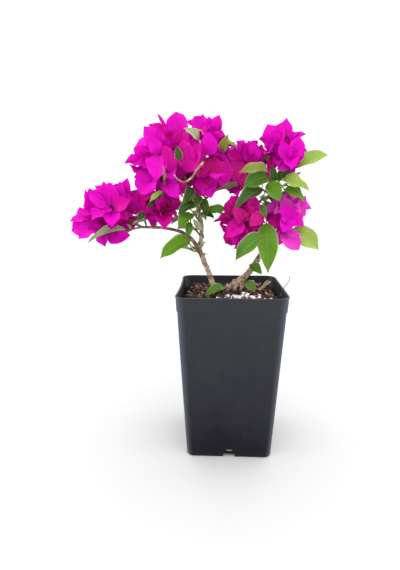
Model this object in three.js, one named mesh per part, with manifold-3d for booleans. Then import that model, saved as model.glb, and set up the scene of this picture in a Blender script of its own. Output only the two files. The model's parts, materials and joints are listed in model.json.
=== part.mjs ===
// A small bougainvillea in a square nursery pot, in millimetres, +Z up.
// The origin is the middle of the pot's flat underside. The front of the plant faces -Y.
//
// Two woody stems rise from the potting mix. They fork into thin boughs, and each bough carries a mass:
// either blossom, which is triplets of papery bracts at the ends of fine twigs, or a spray of leaves.
// The masses grow by a seeded rule, and a blade that would touch a limb or another mass is skipped.

import * as THREE from "three";
import { mergeVertices } from "three/addons/utils/BufferGeometryUtils.js";
import Module from "manifold-3d";

const wasm = await Module();
wasm.setup();

// ---------------------------------------------------------------- driving dimensions

const GAP = 0.3; // clearance between pieces that touch

const POT = {
  top: 100, // outer width across the rim
  bottom: 81, // outer width of the foot
  height: 160,
  band: 14.5, // height of the stiffened band below the rim
  bandStep: 0.7, // how far the band stands proud of the wall
  wall: 1.3,
  floor: 2.5,
  rimRadius: 10, // corner radius at the rim
  footRadius: 7, // corner radius at the foot
  footBevel: 1.2,
  lip: 0.8, // rolled edge, outward
  bow: 2, // how far the left side of the rim has sprung inward
  drain: { width: 12, height: 8.3, depth: 14 }, // notch in the middle of each foot edge
};
const SOIL = {
  edge: 144, // level against the wall
  crown: 154, // level of the flat middle that the stems stand on
  flat: 24, // half width of that middle
};
const BRACT = { length: 27, width: 0.8, fullest: 0.45, thickness: 0.8, crease: 8, arch: 36 };
const BELL = { open: 28, spread: 8, roll: 25, stand: 0.5, apart: 5 }; // how a triplet holds its bracts
const SIZES = { least: 0.85, spread: 0.3 }; // a bract's length, as a share of the usual one
const DEPTH = { least: 0.7, spread: 0.35 }; // how far below its mass's rim a triplet starts, in bract lengths
const COVER = 0.9; // share of a mass's rim that has triplets, from its far end
const STALKS = { reach: 0.6, foot: 0.8, head: 1.8, past: 1.5 }; // share of the main twig, radii, overshoot
const SKYWARD = 0.3; // how much a triplet turns up
const GOLDEN_ANGLE = 137.5;
const LEAF = { width: 0.54, fullest: 0.4, thickness: 0.8, crease: 18, arch: 50 };
const TRIES = 24; // places tried for a triplet
const CROSSINGS = 1; // other bracts that a bract may cross
const PETIOLE = { share: 0.16, radius: 0.55 }; // share of the leaf's whole length
const FLARE_LENGTH = 9; // how fast a stem narrows above its foot
const TWIG = { foot: 1.0, tip: 0.6, rise: 0.1 }; // radii of a spray's twig, and its bow
const BRANCHLET = { foot: 1.3, tip: 0.9 }; // radii of a blossom mass's main twig

const material = (color, roughness) => new THREE.MeshStandardMaterial({ color, roughness, metalness: 0 });
const PLASTIC = material(0x2b2a31, 0.45);
const MIX = material(0x3a2a20, 0.95);
const BARK = material(0x9a7558, 0.85);
const GREEN_WOOD = material(0x7f7a4e, 0.75);
const PINK = material(0xd104b4, 0.6);
const LEAF_GREEN = material(0x4f8a23, 0.5);

// ---------------------------------------------------------------- small helpers

const vec = (p) => new THREE.Vector3(...p);
const radians = THREE.MathUtils.degToRad;

// A repeatable stream of numbers from 0 to 1.
function stream(seed) {
  let state = seed >>> 0;
  return () => {
    state = (state + 0x6d2b79f5) >>> 0;
    let t = state;
    t = Math.imul(t ^ (t >>> 15), t | 1);
    t ^= t + Math.imul(t ^ (t >>> 7), t | 61);
    return ((t ^ (t >>> 14)) >>> 0) / 4294967296;
  };
}

// The unit direction of a compass heading, from +X towards +Y, and a slope above the horizon, in degrees.
function direction(heading, slope) {
  const h = radians(heading);
  const s = radians(slope);
  return new THREE.Vector3(Math.cos(s) * Math.cos(h), Math.cos(s) * Math.sin(h), Math.sin(s));
}

// What is left of v, as a unit vector, once its part along the unit vector d is taken away.
function square(v, d) {
  const left = v.clone().addScaledVector(d, -v.dot(d));
  if (left.length() < 1e-3) left.set(d.z, d.x, d.y).addScaledVector(d, -left.dot(d));
  return left.normalize();
}

// A closed three.js geometry as a manifold-3d solid.
function solid(geometry) {
  const bare = geometry.clone().deleteAttribute("normal").deleteAttribute("uv");
  const merged = mergeVertices(bare, 1e-4);
  return new wasm.Manifold(
    new wasm.Mesh({
      numProp: 3,
      vertProperties: new Float32Array(merged.attributes.position.array),
      triVerts: new Uint32Array(merged.index.array),
    }),
  );
}

// A named mesh from a solid.
function piece(name, shape, finish) {
  const { vertProperties, triVerts, numProp, numVert } = shape.getMesh();
  const position = new Float32Array(numVert * 3);
  for (let i = 0; i < numVert; i++) {
    position.set(vertProperties.subarray(i * numProp, i * numProp + 3), i * 3);
  }
  const geometry = new THREE.BufferGeometry();
  geometry.setAttribute("position", new THREE.BufferAttribute(position, 3));
  geometry.setIndex(new THREE.BufferAttribute(new Uint32Array(triVerts), 1));
  geometry.computeVertexNormals();
  const made = new THREE.Mesh(geometry, finish);
  made.name = name;
  return made;
}

// ---------------------------------------------------------------- pot and potting mix

// The points of a rounded square, anticlockwise seen from above. side is the outer width.
function roundedSquare(side, radius, z, cornerSteps = 4) {
  const ring = [];
  for (let corner = 0; corner < 4; corner++) {
    for (let step = 0; step <= cornerSteps; step++) {
      const angle = (Math.PI / 2) * (corner + step / cornerSteps);
      const [sx, sy] = [
        [1, 1],
        [-1, 1],
        [-1, -1],
        [1, -1],
      ][corner];
      const middle = side / 2 - radius;
      ring.push(
        new THREE.Vector3(
          sx * middle + radius * Math.cos(angle),
          sy * middle + radius * Math.sin(angle),
          z,
        ),
      );
    }
  }
  return ring;
}

// A closed skin through rings of equal length, with a flat fan over the first and the last.
function loft(rings) {
  const count = rings[0].length;
  const points = rings.flat();
  const middleOf = (ring) =>
    ring.reduce((sum, p) => sum.add(p), new THREE.Vector3()).divideScalar(ring.length);
  points.push(middleOf(rings[0]), middleOf(rings.at(-1)));
  const first = points.length - 2;
  const last = points.length - 1;
  const index = [];
  for (let j = 0; j < count; j++) {
    const next = (j + 1) % count;
    index.push(first, next, j);
    for (let i = 0; i + 1 < rings.length; i++) {
      const low = i * count;
      const high = low + count;
      index.push(low + j, low + next, high + j, low + next, high + next, high + j);
    }
    const top = (rings.length - 1) * count;
    index.push(last, top + j, top + next);
  }
  return new THREE.BufferGeometry().setFromPoints(points).setIndex(index);
}

// The outer width and corner radius of the pot's wall at height z.
function wallAt(z) {
  const up = z / POT.height;
  return {
    side: THREE.MathUtils.lerp(POT.bottom, POT.top - 2 * POT.bandStep, up),
    radius: THREE.MathUtils.lerp(POT.footRadius, POT.rimRadius, up),
  };
}

// A ring of the wall, set in or out by grow, with the left side sprung inward near the rim.
function wallRing(z, grow) {
  const { side, radius } = wallAt(z);
  const ring = roundedSquare(side + 2 * grow, radius + grow, z);
  for (const p of ring) {
    const along = Math.max(0, 1 - (p.y / (side / 2)) ** 2);
    if (p.x < 0) p.x += POT.bow * along * (z / POT.height) ** 4;
  }
  return ring;
}

function pot() {
  const bandFoot = POT.height - POT.band;
  const { height, wall, floor, bandStep, lip, footBevel } = POT;
  const body = solid(
    loft([
      wallRing(0, -footBevel),
      wallRing(footBevel, 0),
      wallRing(height / 2, 0),
      wallRing(bandFoot - 1, 0),
      wallRing(bandFoot, bandStep),
      wallRing(height - 2 * lip, bandStep),
      wallRing(height - lip, bandStep + lip / 2),
      wallRing(height, bandStep),
      wallRing(height, bandStep - wall),
      wallRing(bandFoot, bandStep - wall),
      wallRing(bandFoot - 2, -wall),
      wallRing(height / 2, -wall),
      wallRing(floor, -wall),
    ]),
  );
  const { width, height: rise, depth } = POT.drain;
  const notches = [0, 1, 2, 3].map((quarter) =>
    solid(
      new THREE.BoxGeometry(width, 2 * depth, 2 * rise)
        .translate(0, -POT.bottom / 2, 0)
        .rotateZ((quarter * Math.PI) / 2),
    ),
  );
  return body.subtract(wasm.Manifold.union(notches));
}

// Potting mix: it fills the pot to just inside its wall, and rises to a flat middle round the stems.
function soil() {
  const inside = -POT.wall - GAP;
  const bottom = POT.floor + GAP;
  const rings = [
    wallRing(bottom, inside),
    wallRing(POT.height / 2, inside),
    wallRing(SOIL.edge, inside),
  ];
  const outer = wallAt(SOIL.edge).side / 2 + inside;
  for (const share of [0.25, 0.5, 0.75, 1]) {
    const half = THREE.MathUtils.lerp(outer, SOIL.flat, share);
    const rise = (SOIL.crown - SOIL.edge) * Math.sin((share * Math.PI) / 2);
    rings.push(roundedSquare(2 * half, THREE.MathUtils.lerp(9, 14, share), SOIL.edge + rise));
  }
  return solid(loft(rings));
}

// ---------------------------------------------------------------- limbs

// A cylinder bent along a curve, with its radius given by radiusAt(share of the length).
function bend(curve, radiusAt, sides, steps) {
  const frames = curve.computeFrenetFrames(steps);
  const tube = new THREE.CylinderGeometry(1, 1, 1, sides, steps);
  const place = tube.attributes.position;
  for (let i = 0; i < place.count; i++) {
    const share = place.getY(i) + 0.5;
    const step = Math.round(share * steps);
    const radius = radiusAt(share);
    const p = curve
      .getPointAt(share)
      .addScaledVector(frames.normals[step], place.getX(i) * radius)
      .addScaledVector(frames.binormals[step], -place.getZ(i) * radius);
    place.setXYZ(i, p.x, p.y, p.z);
  }
  return tube;
}

// A woody limb. It keeps its curve, so that what grows from it can find its place, and a sleeve that is
// GAP wider, which what grows from it is cut by.
function limb({ points, foot, tip, flare = 0, sides = 8, steps = 14 }) {
  const curve = new THREE.CatmullRomCurve3(points.map(vec));
  const length = curve.getLength();
  const radiusAt = (share) =>
    THREE.MathUtils.lerp(foot, tip, share ** 0.8) + flare * Math.exp((-share * length) / FLARE_LENGTH);
  const shape = solid(bend(curve, radiusAt, sides, steps));
  const past = curve.getPointAt(1).addScaledVector(curve.getTangentAt(1), GAP);
  const longer = new THREE.CatmullRomCurve3([...curve.points.slice(0, -1), past]);
  const sleeve = solid(bend(longer, (share) => radiusAt(share) + GAP, sides, steps));
  return { curve, shape, sleeve };
}

// A stem that stands on the mix with a flat foot.
function stem(plan) {
  const made = limb(plan);
  made.shape = made.shape.trimByPlane([0, 0, 1], SOIL.crown + GAP);
  return made;
}

// A bough that leaves a limb's side at a share of its length, or goes on from its tip.
function bough({ from, at, points, ...plan }) {
  const made = limb({ points: [rootOn(from, at).toArray(), ...points], ...plan });
  made.shape = made.shape.subtract(from.sleeve);
  return made;
}

// Where something that grows from a limb begins: on its axis, at a share of its length.
const rootOn = (from, at) => from.curve.getPointAt(at);

// ---------------------------------------------------------------- blades and masses

// How wide a blade is at a share of its length, as a share of its greatest width.
function outline(share, fullest) {
  const rise = 0.6;
  const fall = (rise * (1 - fullest)) / fullest;
  const at = (s) => s ** rise * (1 - s) ** fall;
  return at(share) / at(fullest);
}

// A leaf or bract: a thin blade that ends in points, hollowed by its crease and arched along its length.
// along is the way its foot points, and face the way its upper side looks.
function blade({ foot, along, face, length, width, fullest, crease, arch, thickness }) {
  const side = along.clone().cross(face);
  const turn = radians(arch);
  const up = (share) =>
    face
      .clone()
      .multiplyScalar(Math.cos(turn * share))
      .addScaledVector(along, Math.sin(turn * share));
  const ridge = (share, lift = 0) =>
    foot
      .clone()
      .addScaledVector(along, (length * Math.sin(turn * share)) / turn)
      .addScaledVector(face, (-length * (1 - Math.cos(turn * share))) / turn)
      .addScaledVector(up(share), lift);
  const edge = (share, hand) => {
    const half = (width / 2) * outline(share, fullest);
    const rise = half * Math.sin(radians(crease));
    return ridge(share, rise).addScaledVector(side, hand * half * Math.cos(radians(crease)));
  };
  const near = fullest * 0.66;
  const far = fullest + (1 - fullest) * 0.4;
  const rim = [ridge(0), edge(near, 1), edge(far, 1), ridge(1), edge(far, -1), edge(near, -1)];
  const upper = rim.length;
  const lower = upper + 1;
  const index = rim.flatMap((_, i) => {
    const next = (i + 1) % rim.length;
    return [upper, i, next, lower, next, i];
  });
  const points = [...rim, ridge(fullest, thickness / 2), ridge(fullest, -thickness / 2)];
  return solid(new THREE.BufferGeometry().setFromPoints(points).setIndex(index));
}

// A three-sided twig from foot to tip, bowed up by a share of its length.
function twig(foot, tip, rise, thick, thin, steps = 2) {
  const lift = foot.distanceTo(tip) * rise;
  const middle = foot.clone().lerp(tip, 0.5).add(new THREE.Vector3(0, 0, lift));
  const curve = new THREE.QuadraticBezierCurve3(foot, middle, tip);
  return solid(bend(curve, (share) => THREE.MathUtils.lerp(thick, thin, share), 3, steps));
}

const taken = []; // every solid that a new blade has to stay clear of

// True if a new solid keeps clear of all that stands already.
const clear = (shape) => taken.every((other) => shape.minGap(other, 2 * GAP) > 0.8 * GAP);

// The twig that a mass hangs from, cut off short of its limb.
function mainTwig(from, at, end, { foot, tip }) {
  return twig(rootOn(from, at), end, TWIG.rise, foot, tip).subtract(from.sleeve);
}

// A leaf on its petiole, which runs on under the blade as its midrib. chord is the way from foot to tip,
// and the leaf arches over it.
function leaf({ foot, chord, face, length }) {
  const { share, radius } = PETIOLE;
  const over = square(face, chord);
  const lift = radians(LEAF.arch / 2);
  const along = chord.clone().multiplyScalar(Math.cos(lift)).addScaledVector(over, Math.sin(lift));
  const start = foot.clone().addScaledVector(along, length * share);
  const end = start.clone().addScaledVector(along, 2);
  const long = length * (1 - share);
  const plan = { ...LEAF, foot: start, along, face: square(over, along), length: long };
  return blade({ ...plan, width: long * LEAF.width }).add(twig(foot, end, 0, radius, radius, 1));
}

// A triplet: three bracts round the end of one stalk, held as an open bell round axis.
function triplet({ heart, axis, spin, open, length }) {
  const across = square(new THREE.Vector3(0.3, 0.2, 1), axis);
  const tilt = radians(open);
  return [0, 1, 2].map((third) => {
    const radial = across.clone().applyAxisAngle(axis, radians(spin + 120 * third));
    const along = axis.clone().multiplyScalar(Math.cos(tilt)).addScaledVector(radial, Math.sin(tilt));
    const inward = axis.clone().multiplyScalar(Math.sin(tilt)).addScaledVector(radial, -Math.cos(tilt));
    const face = inward.applyAxisAngle(along, radians(BELL.roll));
    const foot = heart.clone().addScaledVector(radial, BELL.stand);
    return blade({ ...BRACT, foot, along, face, length, width: length * BRACT.width });
  });
}

// A mass of blossom that fills an ellipsoid round centre. Its triplets look outward, spread evenly by the
// golden angle from the far end. Each has a few tries at a place where its bracts cross few others.
function blossom({ from, at, centre, reach, count, seed, size = 1 }) {
  const root = rootOn(from, at);
  const middle = vec(centre);
  const away = middle.clone().sub(root).normalize();
  const turn = new THREE.Quaternion().setFromUnitVectors(new THREE.Vector3(0, 0, 1), away);
  const phase = 360 * stream(seed)();
  const bracts = [];
  const wood = [mainTwig(from, at, middle, BRANCHLET)];
  for (let i = 0; i < count; i++) {
    const random = stream(1000 * seed + i);
    const order = (i + 0.5) / count;
    const slope = THREE.MathUtils.radToDeg(Math.asin(1 - 2 * COVER * order));
    const rim = direction(phase + GOLDEN_ANGLE * i, slope).applyQuaternion(turn).multiply(vec(reach));
    for (let attempt = 0; attempt < TRIES; attempt++) {
      const length = BRACT.length * size * (SIZES.least + SIZES.spread * random());
      const open = BELL.open + BELL.spread * random();
      const spin = 120 * random();
      const out = rim.clone().normalize();
      const sunk = length * (DEPTH.least + DEPTH.spread * random());
      const deep = Math.max(rim.length() - sunk, BELL.apart);
      const heart = middle.clone().addScaledVector(out, deep);
      const axis = out.add(new THREE.Vector3(0, 0, SKYWARD)).normalize();
      const made = triplet({ heart, axis, spin, open, length });
      const stalkFoot = root.clone().lerp(middle, 1 - STALKS.reach * order);
      const stalkHead = heart.addScaledVector(axis, STALKS.past);
      const stalk = twig(stalkFoot, stalkHead, 0, STALKS.foot, STALKS.head, 1);
      const crossed = made.map((a) => bracts.filter((b) => a.minGap(b, 1) === 0).length);
      const good = made.filter((a, k) => crossed[k] <= CROSSINGS && clear(a));
      if (good.length > 1 && clear(stalk)) {
        bracts.push(...good);
        wood.push(stalk);
        break;
      }
    }
  }
  return keep(wasm.Manifold.union([...wood, ...bracts]).subtract(from.sleeve));
}

// A spray of leaves on one twig. Each row is: share of the twig, heading, slope, length,
// and then, where the leaf isn't like the others, its face's heading and slope.
function spray({ from, at, tip, leaves }) {
  const root = rootOn(from, at);
  const end = vec(tip);
  const parts = [mainTwig(from, at, end, TWIG)];
  for (const [share, heading, slope, length, faceHeading = -90, faceSlope = 40] of leaves) {
    const chord = direction(heading, slope);
    const face = direction(faceHeading, faceSlope);
    const made = leaf({ foot: root.clone().lerp(end, share), chord, face, length });
    if (clear(made)) parts.push(made);
  }
  return keep(wasm.Manifold.union(parts).subtract(from.sleeve));
}

// Notes a finished mass, so that later ones stay clear of it. Scraps that came loose are dropped.
function keep(mass) {
  const [largest] = mass.decompose().sort((a, b) => b.volume() - a.volume());
  taken.push(largest);
  return largest;
}

// ---------------------------------------------------------------- the plant

const plant = new THREE.Group();
const add = (name, shape, finish) => plant.add(piece(name, shape, finish));

const potBody = pot();
const mix = soil();
taken.push(potBody, mix);
add("pot", potBody, PLASTIC);
add("soil", mix, MIX);

const stemLeft = stem({
  points: [
    [-11.5, 5, 147],
    [-14.6, 4, 155],
    [-20, 3, 170],
    [-26, 2, 185],
    [-29.5, 0, 196],
    [-28, 0, 207],
    [-28, 1, 220],
    [-31, 2, 232],
    [-35, 3, 248],
  ],
  foot: 2.7,
  tip: 1.5,
  flare: 0.9,
});
const stemRight = stem({
  points: [
    [-6, 5, 150],
    [1, 4, 156.5],
    [8, 3, 163],
    [17, 2, 172],
    [26, 1, 186],
    [33, 1, 200],
    [38, 2, 213],
    [41, 3, 225],
    [42, 3, 244],
  ],
  foot: 3.6,
  tip: 1.3,
  flare: 3,
  steps: 18,
});
const boughLeft = bough({
  from: stemLeft,
  at: 0.47,
  points: [
    [-38, -2, 206],
    [-46, -3, 211.5],
    [-62, -5, 215.5],
    [-84, -5, 216.5],
  ],
  foot: 1.9,
  tip: 1.1,
});
const boughUpperLeft = bough({
  from: stemLeft,
  at: 0.93,
  points: [
    [-44, 1, 254],
    [-55, -3, 262],
  ],
  foot: 1.2,
  tip: 0.9,
  steps: 6,
});
const boughBackLeft = bough({
  from: stemLeft,
  at: 0.88,
  points: [
    [-37, 11, 248],
    [-42, 20, 256],
  ],
  foot: 1.2,
  tip: 0.9,
  steps: 6,
});
const boughMiddle = bough({
  from: stemLeft,
  at: 0.83,
  points: [
    [-23, 4, 243],
    [-13, 6, 251],
    [-4, 8, 258],
  ],
  foot: 1.2,
  tip: 0.8,
  steps: 8,
});
const boughTopRight = bough({
  from: stemRight,
  at: 1,
  points: [
    [42.5, 3, 255],
    [44.5, 1, 266],
  ],
  foot: 1.2,
  tip: 1.0,
  steps: 6,
});
const boughBackRight = bough({
  from: stemRight,
  at: 0.96,
  points: [
    [37, 13, 246],
    [27, 24, 253],
  ],
  foot: 1.2,
  tip: 0.9,
  steps: 6,
});
const boughLowMiddle = bough({
  from: stemRight,
  at: 0.9,
  points: [
    [35, 0, 243],
    [28, -6, 242],
    [20, -11, 236],
  ],
  foot: 1.2,
  tip: 0.9,
  steps: 8,
});
const boughLowRight = bough({
  from: stemRight,
  at: 0.93,
  points: [
    [47, 0, 245],
    [53, -4, 241],
  ],
  foot: 1.1,
  tip: 0.8,
  steps: 6,
});

const limbs = {
  stem_left: [stemLeft, BARK],
  stem_right: [stemRight, BARK],
  bough_left: [boughLeft, BARK],
  bough_upper_left: [boughUpperLeft, GREEN_WOOD],
  bough_back_left: [boughBackLeft, GREEN_WOOD],
  bough_middle: [boughMiddle, GREEN_WOOD],
  bough_top_right: [boughTopRight, GREEN_WOOD],
  bough_back_right: [boughBackRight, GREEN_WOOD],
  bough_low_middle: [boughLowMiddle, GREEN_WOOD],
  bough_low_right: [boughLowRight, GREEN_WOOD],
};
for (const [name, [made, finish]] of Object.entries(limbs)) {
  add(name, made.shape, finish);
}
taken.push(...Object.values(limbs).map(([made]) => made.shape));

const sprays = {
  leaves_soil: {
    from: stemLeft,
    at: 0.12,
    tip: [-15, -3, 161],
    leaves: [[1, -144, -20, 18, -90, 60]],
  },
  leaves_fork: {
    from: stemLeft,
    at: 0.4,
    tip: [-38, -8, 200],
    leaves: [
      [1, -171, -20, 36],
      [0.6, -133, 72, 14, -60, 0],
      [0.5, 150, 0, 26, 120, 60],
    ],
  },
  leaves_left_low: {
    from: stemLeft,
    at: 0.6,
    tip: [-38, -7, 219],
    leaves: [
      [0.3, -151, 43, 17],
      [1, -99, -50, 17, -110, 30],
      [0.6, 140, 0, 24, 90, 50],
    ],
  },
  leaves_left_inner: {
    from: stemLeft,
    at: 0.8,
    tip: [-22, -4, 231],
    leaves: [
      [0.5, -28, -20, 13],
      [1, -17, 0, 22],
      [0.8, 50, -10, 26, 60, 60],
    ],
  },
  leaves_left_high: {
    from: stemLeft,
    at: 0.9,
    tip: [-41, -5, 239],
    leaves: [
      [0.5, -137, -46, 24],
      [1, -144, -35, 18],
      [0.7, 130, -20, 24, 110, 60],
    ],
  },
  leaves_middle: {
    from: boughMiddle,
    at: 0.35,
    tip: [-29, -5, 248],
    leaves: [
      [0.7, -150, -44, 18],
      [1, -110, -45, 21, -80, 20],
    ],
  },
  leaves_left_end: {
    from: boughLeft,
    at: 0.92,
    tip: [-97, -13, 213],
    leaves: [
      [1, -166, -16, 38, -70, 30],
      [0.4, 17, 34, 17],
      [0.8, 150, -30, 30, 120, 50],
    ],
  },
  leaves_upper_left: {
    from: boughUpperLeft,
    at: 0.8,
    tip: [-59, -18, 252],
    leaves: [
      [1, -146, -38, 19],
      [0.6, 160, -50, 24, 130, 40],
    ],
  },
  leaves_upper_middle: {
    from: boughMiddle,
    at: 0.95,
    tip: [-9, 7, 283],
    leaves: [
      [1, -16, 5, 17],
      [0.95, 40, 60, 16, 0, 0],
    ],
  },
  leaves_right_inner: {
    from: boughTopRight,
    at: 0.3,
    tip: [27, -3, 265],
    leaves: [
      [1, -155, -15, 26],
      [0.7, -153, -19, 26],
      [0.45, -154, -24, 33],
      [0.9, -151, 30, 19],
      [0.2, -121, 57, 22, -60, 10],
      [0.5, 120, 10, 28, 90, 60],
    ],
  },
  leaves_right_outer: {
    from: boughTopRight,
    at: 0.6,
    tip: [54, 1, 269],
    leaves: [
      [0.3, -20, -33, 29],
      [1, 6, 20, 38, -80, 30],
      [0.8, 21, 0, 14],
      [0.5, 70, -10, 30, 80, 60],
    ],
  },
  leaves_right_middle: {
    from: boughTopRight,
    at: 0.12,
    tip: [44, -9, 254],
    leaves: [
      [0.6, -82, -51, 22, -90, 20],
      [1, -27, -28, 22],
      [0.4, 60, -30, 26, 80, 50],
    ],
  },
  leaves_low_middle: {
    from: stemRight,
    at: 0.83,
    tip: [31, -9, 233],
    leaves: [
      [0.7, -96, -72, 58, -90, 14],
      [1, -150, -20, 17],
      [0.3, 120, 40, 22, 90, 30],
    ],
  },
  leaves_low_left: {
    from: stemRight,
    at: 0.62,
    tip: [27, -7, 209],
    leaves: [
      [1, -154, -30, 35],
      [0.4, 150, -20, 28, 110, 60],
    ],
  },
  leaves_low_right: {
    from: stemRight,
    at: 0.82,
    tip: [53, 0, 218],
    leaves: [
      [1, 8, -36, 42, -80, 20],
      [0.7, 80, -20, 28, 80, 60],
    ],
  },
  leaves_back_left: {
    from: stemLeft,
    at: 0.7,
    tip: [-40, 26, 232],
    leaves: [
      [1, 120, 5, 30, 100, 50],
      [0.75, 60, -15, 28, 70, 60],
      [0.6, 165, -20, 28, 130, 60],
    ],
  },
  leaves_back_right: {
    from: stemRight,
    at: 0.86,
    tip: [34, 26, 238],
    leaves: [
      [1, 80, 10, 30, 90, 50],
      [0.75, 20, -25, 30, 60, 60],
      [0.6, 150, -10, 30, 110, 60],
    ],
  },
  leaves_stem_middle: {
    from: stemRight,
    at: 0.37,
    tip: [24, -5, 180],
    leaves: [
      [1, -140, -25, 11],
      [1, -45, -40, 12],
    ],
  },
  leaves_stem_foot: {
    from: stemRight,
    at: 0.22,
    tip: [14, -5, 168],
    leaves: [[1, -20, -34, 17]],
  },
};
for (const [name, plan] of Object.entries(sprays)) {
  add(name, spray(plan), LEAF_GREEN);
}

const blossoms = {
  blossom_left: {
    from: boughLeft,
    at: 1,
    centre: [-113, -5, 228],
    reach: [31, 28, 24],
    count: 11,
    seed: 25,
  },
  blossom_left_inner: {
    from: boughLeft,
    at: 0.66,
    centre: [-66, -3, 232],
    reach: [16, 18, 12],
    count: 4,
    seed: 31,
    size: 0.75,
  },
  blossom_upper_left: {
    from: boughUpperLeft,
    at: 1,
    centre: [-65, -8, 272],
    reach: [20, 27, 32],
    count: 11,
    seed: 33,
  },
  blossom_upper_middle: {
    from: stemLeft,
    at: 1,
    centre: [-24, -6, 281],
    reach: [20, 27, 36],
    count: 11,
    seed: 32,
  },
  blossom_middle: {
    from: boughMiddle,
    at: 1,
    centre: [12, 8, 273],
    reach: [18, 20, 19],
    count: 6,
    seed: 28,
    size: 0.8,
  },
  blossom_inner: {
    from: boughMiddle,
    at: 0.7,
    centre: [-13, -1, 267],
    reach: [20, 20, 15],
    count: 6,
    seed: 27,
    size: 0.85,
  },
  blossom_back_left: {
    from: boughBackLeft,
    at: 1,
    centre: [-49, 38, 271],
    reach: [22, 21, 24],
    count: 6,
    seed: 41,
    size: 0.9,
  },
  blossom_back_right: {
    from: boughBackRight,
    at: 1,
    centre: [14, 40, 268],
    reach: [20, 20, 21],
    count: 6,
    seed: 42,
    size: 0.9,
  },
  blossom_top_right: {
    from: boughTopRight,
    at: 1,
    centre: [44, -4, 283],
    reach: [9, 18, 20],
    count: 5,
    seed: 36,
    size: 0.85,
  },
  blossom_low_middle: {
    from: boughLowMiddle,
    at: 1,
    centre: [10, -15, 221],
    reach: [16, 20, 25],
    count: 7,
    seed: 12,
    size: 0.85,
  },
  blossom_low_right: {
    from: boughLowRight,
    at: 1,
    centre: [50, -8, 229],
    reach: [8, 14, 10],
    count: 4,
    seed: 50,
    size: 0.75,
  },
  blossom_lowest: {
    from: stemRight,
    at: 0.75,
    centre: [52, -11, 212],
    reach: [7, 7, 4],
    count: 2,
    seed: 34,
    size: 0.75,
  },
};
for (const [name, plan] of Object.entries(blossoms)) {
  add(name, blossom(plan), PINK);
}

export default plant;
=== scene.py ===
"""A young bougainvillea in a square nursery pot, grown over its frame. +Z is up, and the front faces -Y.

The tables and the growing rules are in millimetres, as the plant's own plan is, and MM turns them into
metres where a mesh is made. The masses grow by the plan's seeded rule, which finer triplets and small
leaves then carry on.
"""

import json
import math
import random
from dataclasses import dataclass, replace
from functools import lru_cache

import bpy
import numpy as np
from bpy.props import FloatProperty, FloatVectorProperty, IntProperty, PointerProperty
from mathutils import Matrix, Quaternion, Vector, noise
from mathutils.bvhtree import BVHTree

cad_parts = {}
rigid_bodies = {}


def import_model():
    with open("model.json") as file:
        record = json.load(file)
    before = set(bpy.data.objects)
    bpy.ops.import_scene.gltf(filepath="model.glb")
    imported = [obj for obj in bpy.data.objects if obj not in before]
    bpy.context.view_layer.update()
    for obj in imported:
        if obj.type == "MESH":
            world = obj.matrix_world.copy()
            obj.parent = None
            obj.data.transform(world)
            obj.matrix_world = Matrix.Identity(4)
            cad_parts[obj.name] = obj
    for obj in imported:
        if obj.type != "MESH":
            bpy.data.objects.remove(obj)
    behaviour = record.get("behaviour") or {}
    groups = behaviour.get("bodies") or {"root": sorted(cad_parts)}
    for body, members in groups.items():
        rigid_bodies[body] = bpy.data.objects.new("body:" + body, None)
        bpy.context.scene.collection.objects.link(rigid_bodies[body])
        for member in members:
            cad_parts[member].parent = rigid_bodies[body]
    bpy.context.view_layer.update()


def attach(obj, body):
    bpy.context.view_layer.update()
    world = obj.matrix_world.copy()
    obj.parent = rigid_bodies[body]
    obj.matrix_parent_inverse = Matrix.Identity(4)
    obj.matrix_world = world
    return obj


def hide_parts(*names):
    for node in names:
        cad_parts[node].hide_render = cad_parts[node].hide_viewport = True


bl_info = {
    "name": "Potted Bougainvillea",
    "version": (1, 0, 0),
    "blender": (4, 5, 0),
    "location": "View3D > Sidebar > Bougainvillea",
    "description": "Grows a young bougainvillea and its nursery pot, piece by piece",
    "category": "Add Mesh",
}

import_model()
BODY = "root"
MM = 0.001
UP = Vector((0, 0, 1))
GOLDEN_ANGLE = 137.5  # degrees

# ---------------------------------------------------------------- the plan, in millimetres

POT_TOP = 100  # outer width across the rim
POT_FOOT = 81
POT_HEIGHT = 160
BAND = 14.5  # height of the stiffened band below the rim
BAND_STEP = 0.7  # how far it stands out
RIM_RADIUS = 10
FOOT_RADIUS = 7
FOOT_BEVEL = 1.2
LIP = 0.8
BOW = 2  # how far the left side of the rim has sprung inward
FLOOR = 2.5  # thickness under the mix
DRAIN = (12, 14, 8.3)  # width, depth and height of the notch in each foot edge
DRAIN_ARCH = ((0.42, 0.62), (0.28, 1))  # shoulder and crown, as shares of its width and height
MIX_EDGE = 144  # level of the potting mix against the wall
MIX_CROWN = 154
MIX_FLAT = 24  # half width of its flat middle
MIX_INSET = 3  # from the rim's outside to where its slope starts
LITTER_INSET = 3.5  # from the wall's inside to the outermost chip
GAP = 0.3  # between the mix and the pot
FLARE_LENGTH = 9  # over which a stem's flare fades
BOUGH_FLARE = 0.5
BOUGH_FLARE_LENGTH = 4


@dataclass(frozen=True)
class Limb:
    """A stem or bough through points. A bough starts at a share of another limb's length."""

    points: list
    radii: tuple  # at its foot and at its tip
    limb: str = None
    share: float = None
    wood: str = "green_wood"
    flare: float = BOUGH_FLARE  # how much thicker its foot is


@dataclass(frozen=True)
class Leaf:
    """A leaf of a spray: where it stands on the twig, which way it goes and how long it is."""

    share: float
    heading: float
    slope: float
    length: float
    tone: str
    face: tuple = (-90, 40)  # heading and slope of its upper side


@dataclass(frozen=True)
class Spray:
    """A leafy twig, from a share of a limb's length to its tip."""

    limb: str
    share: float
    tip: tuple
    leaves: list = ()
    bare: bool = False  # without the small leaves that the settings add


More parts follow.
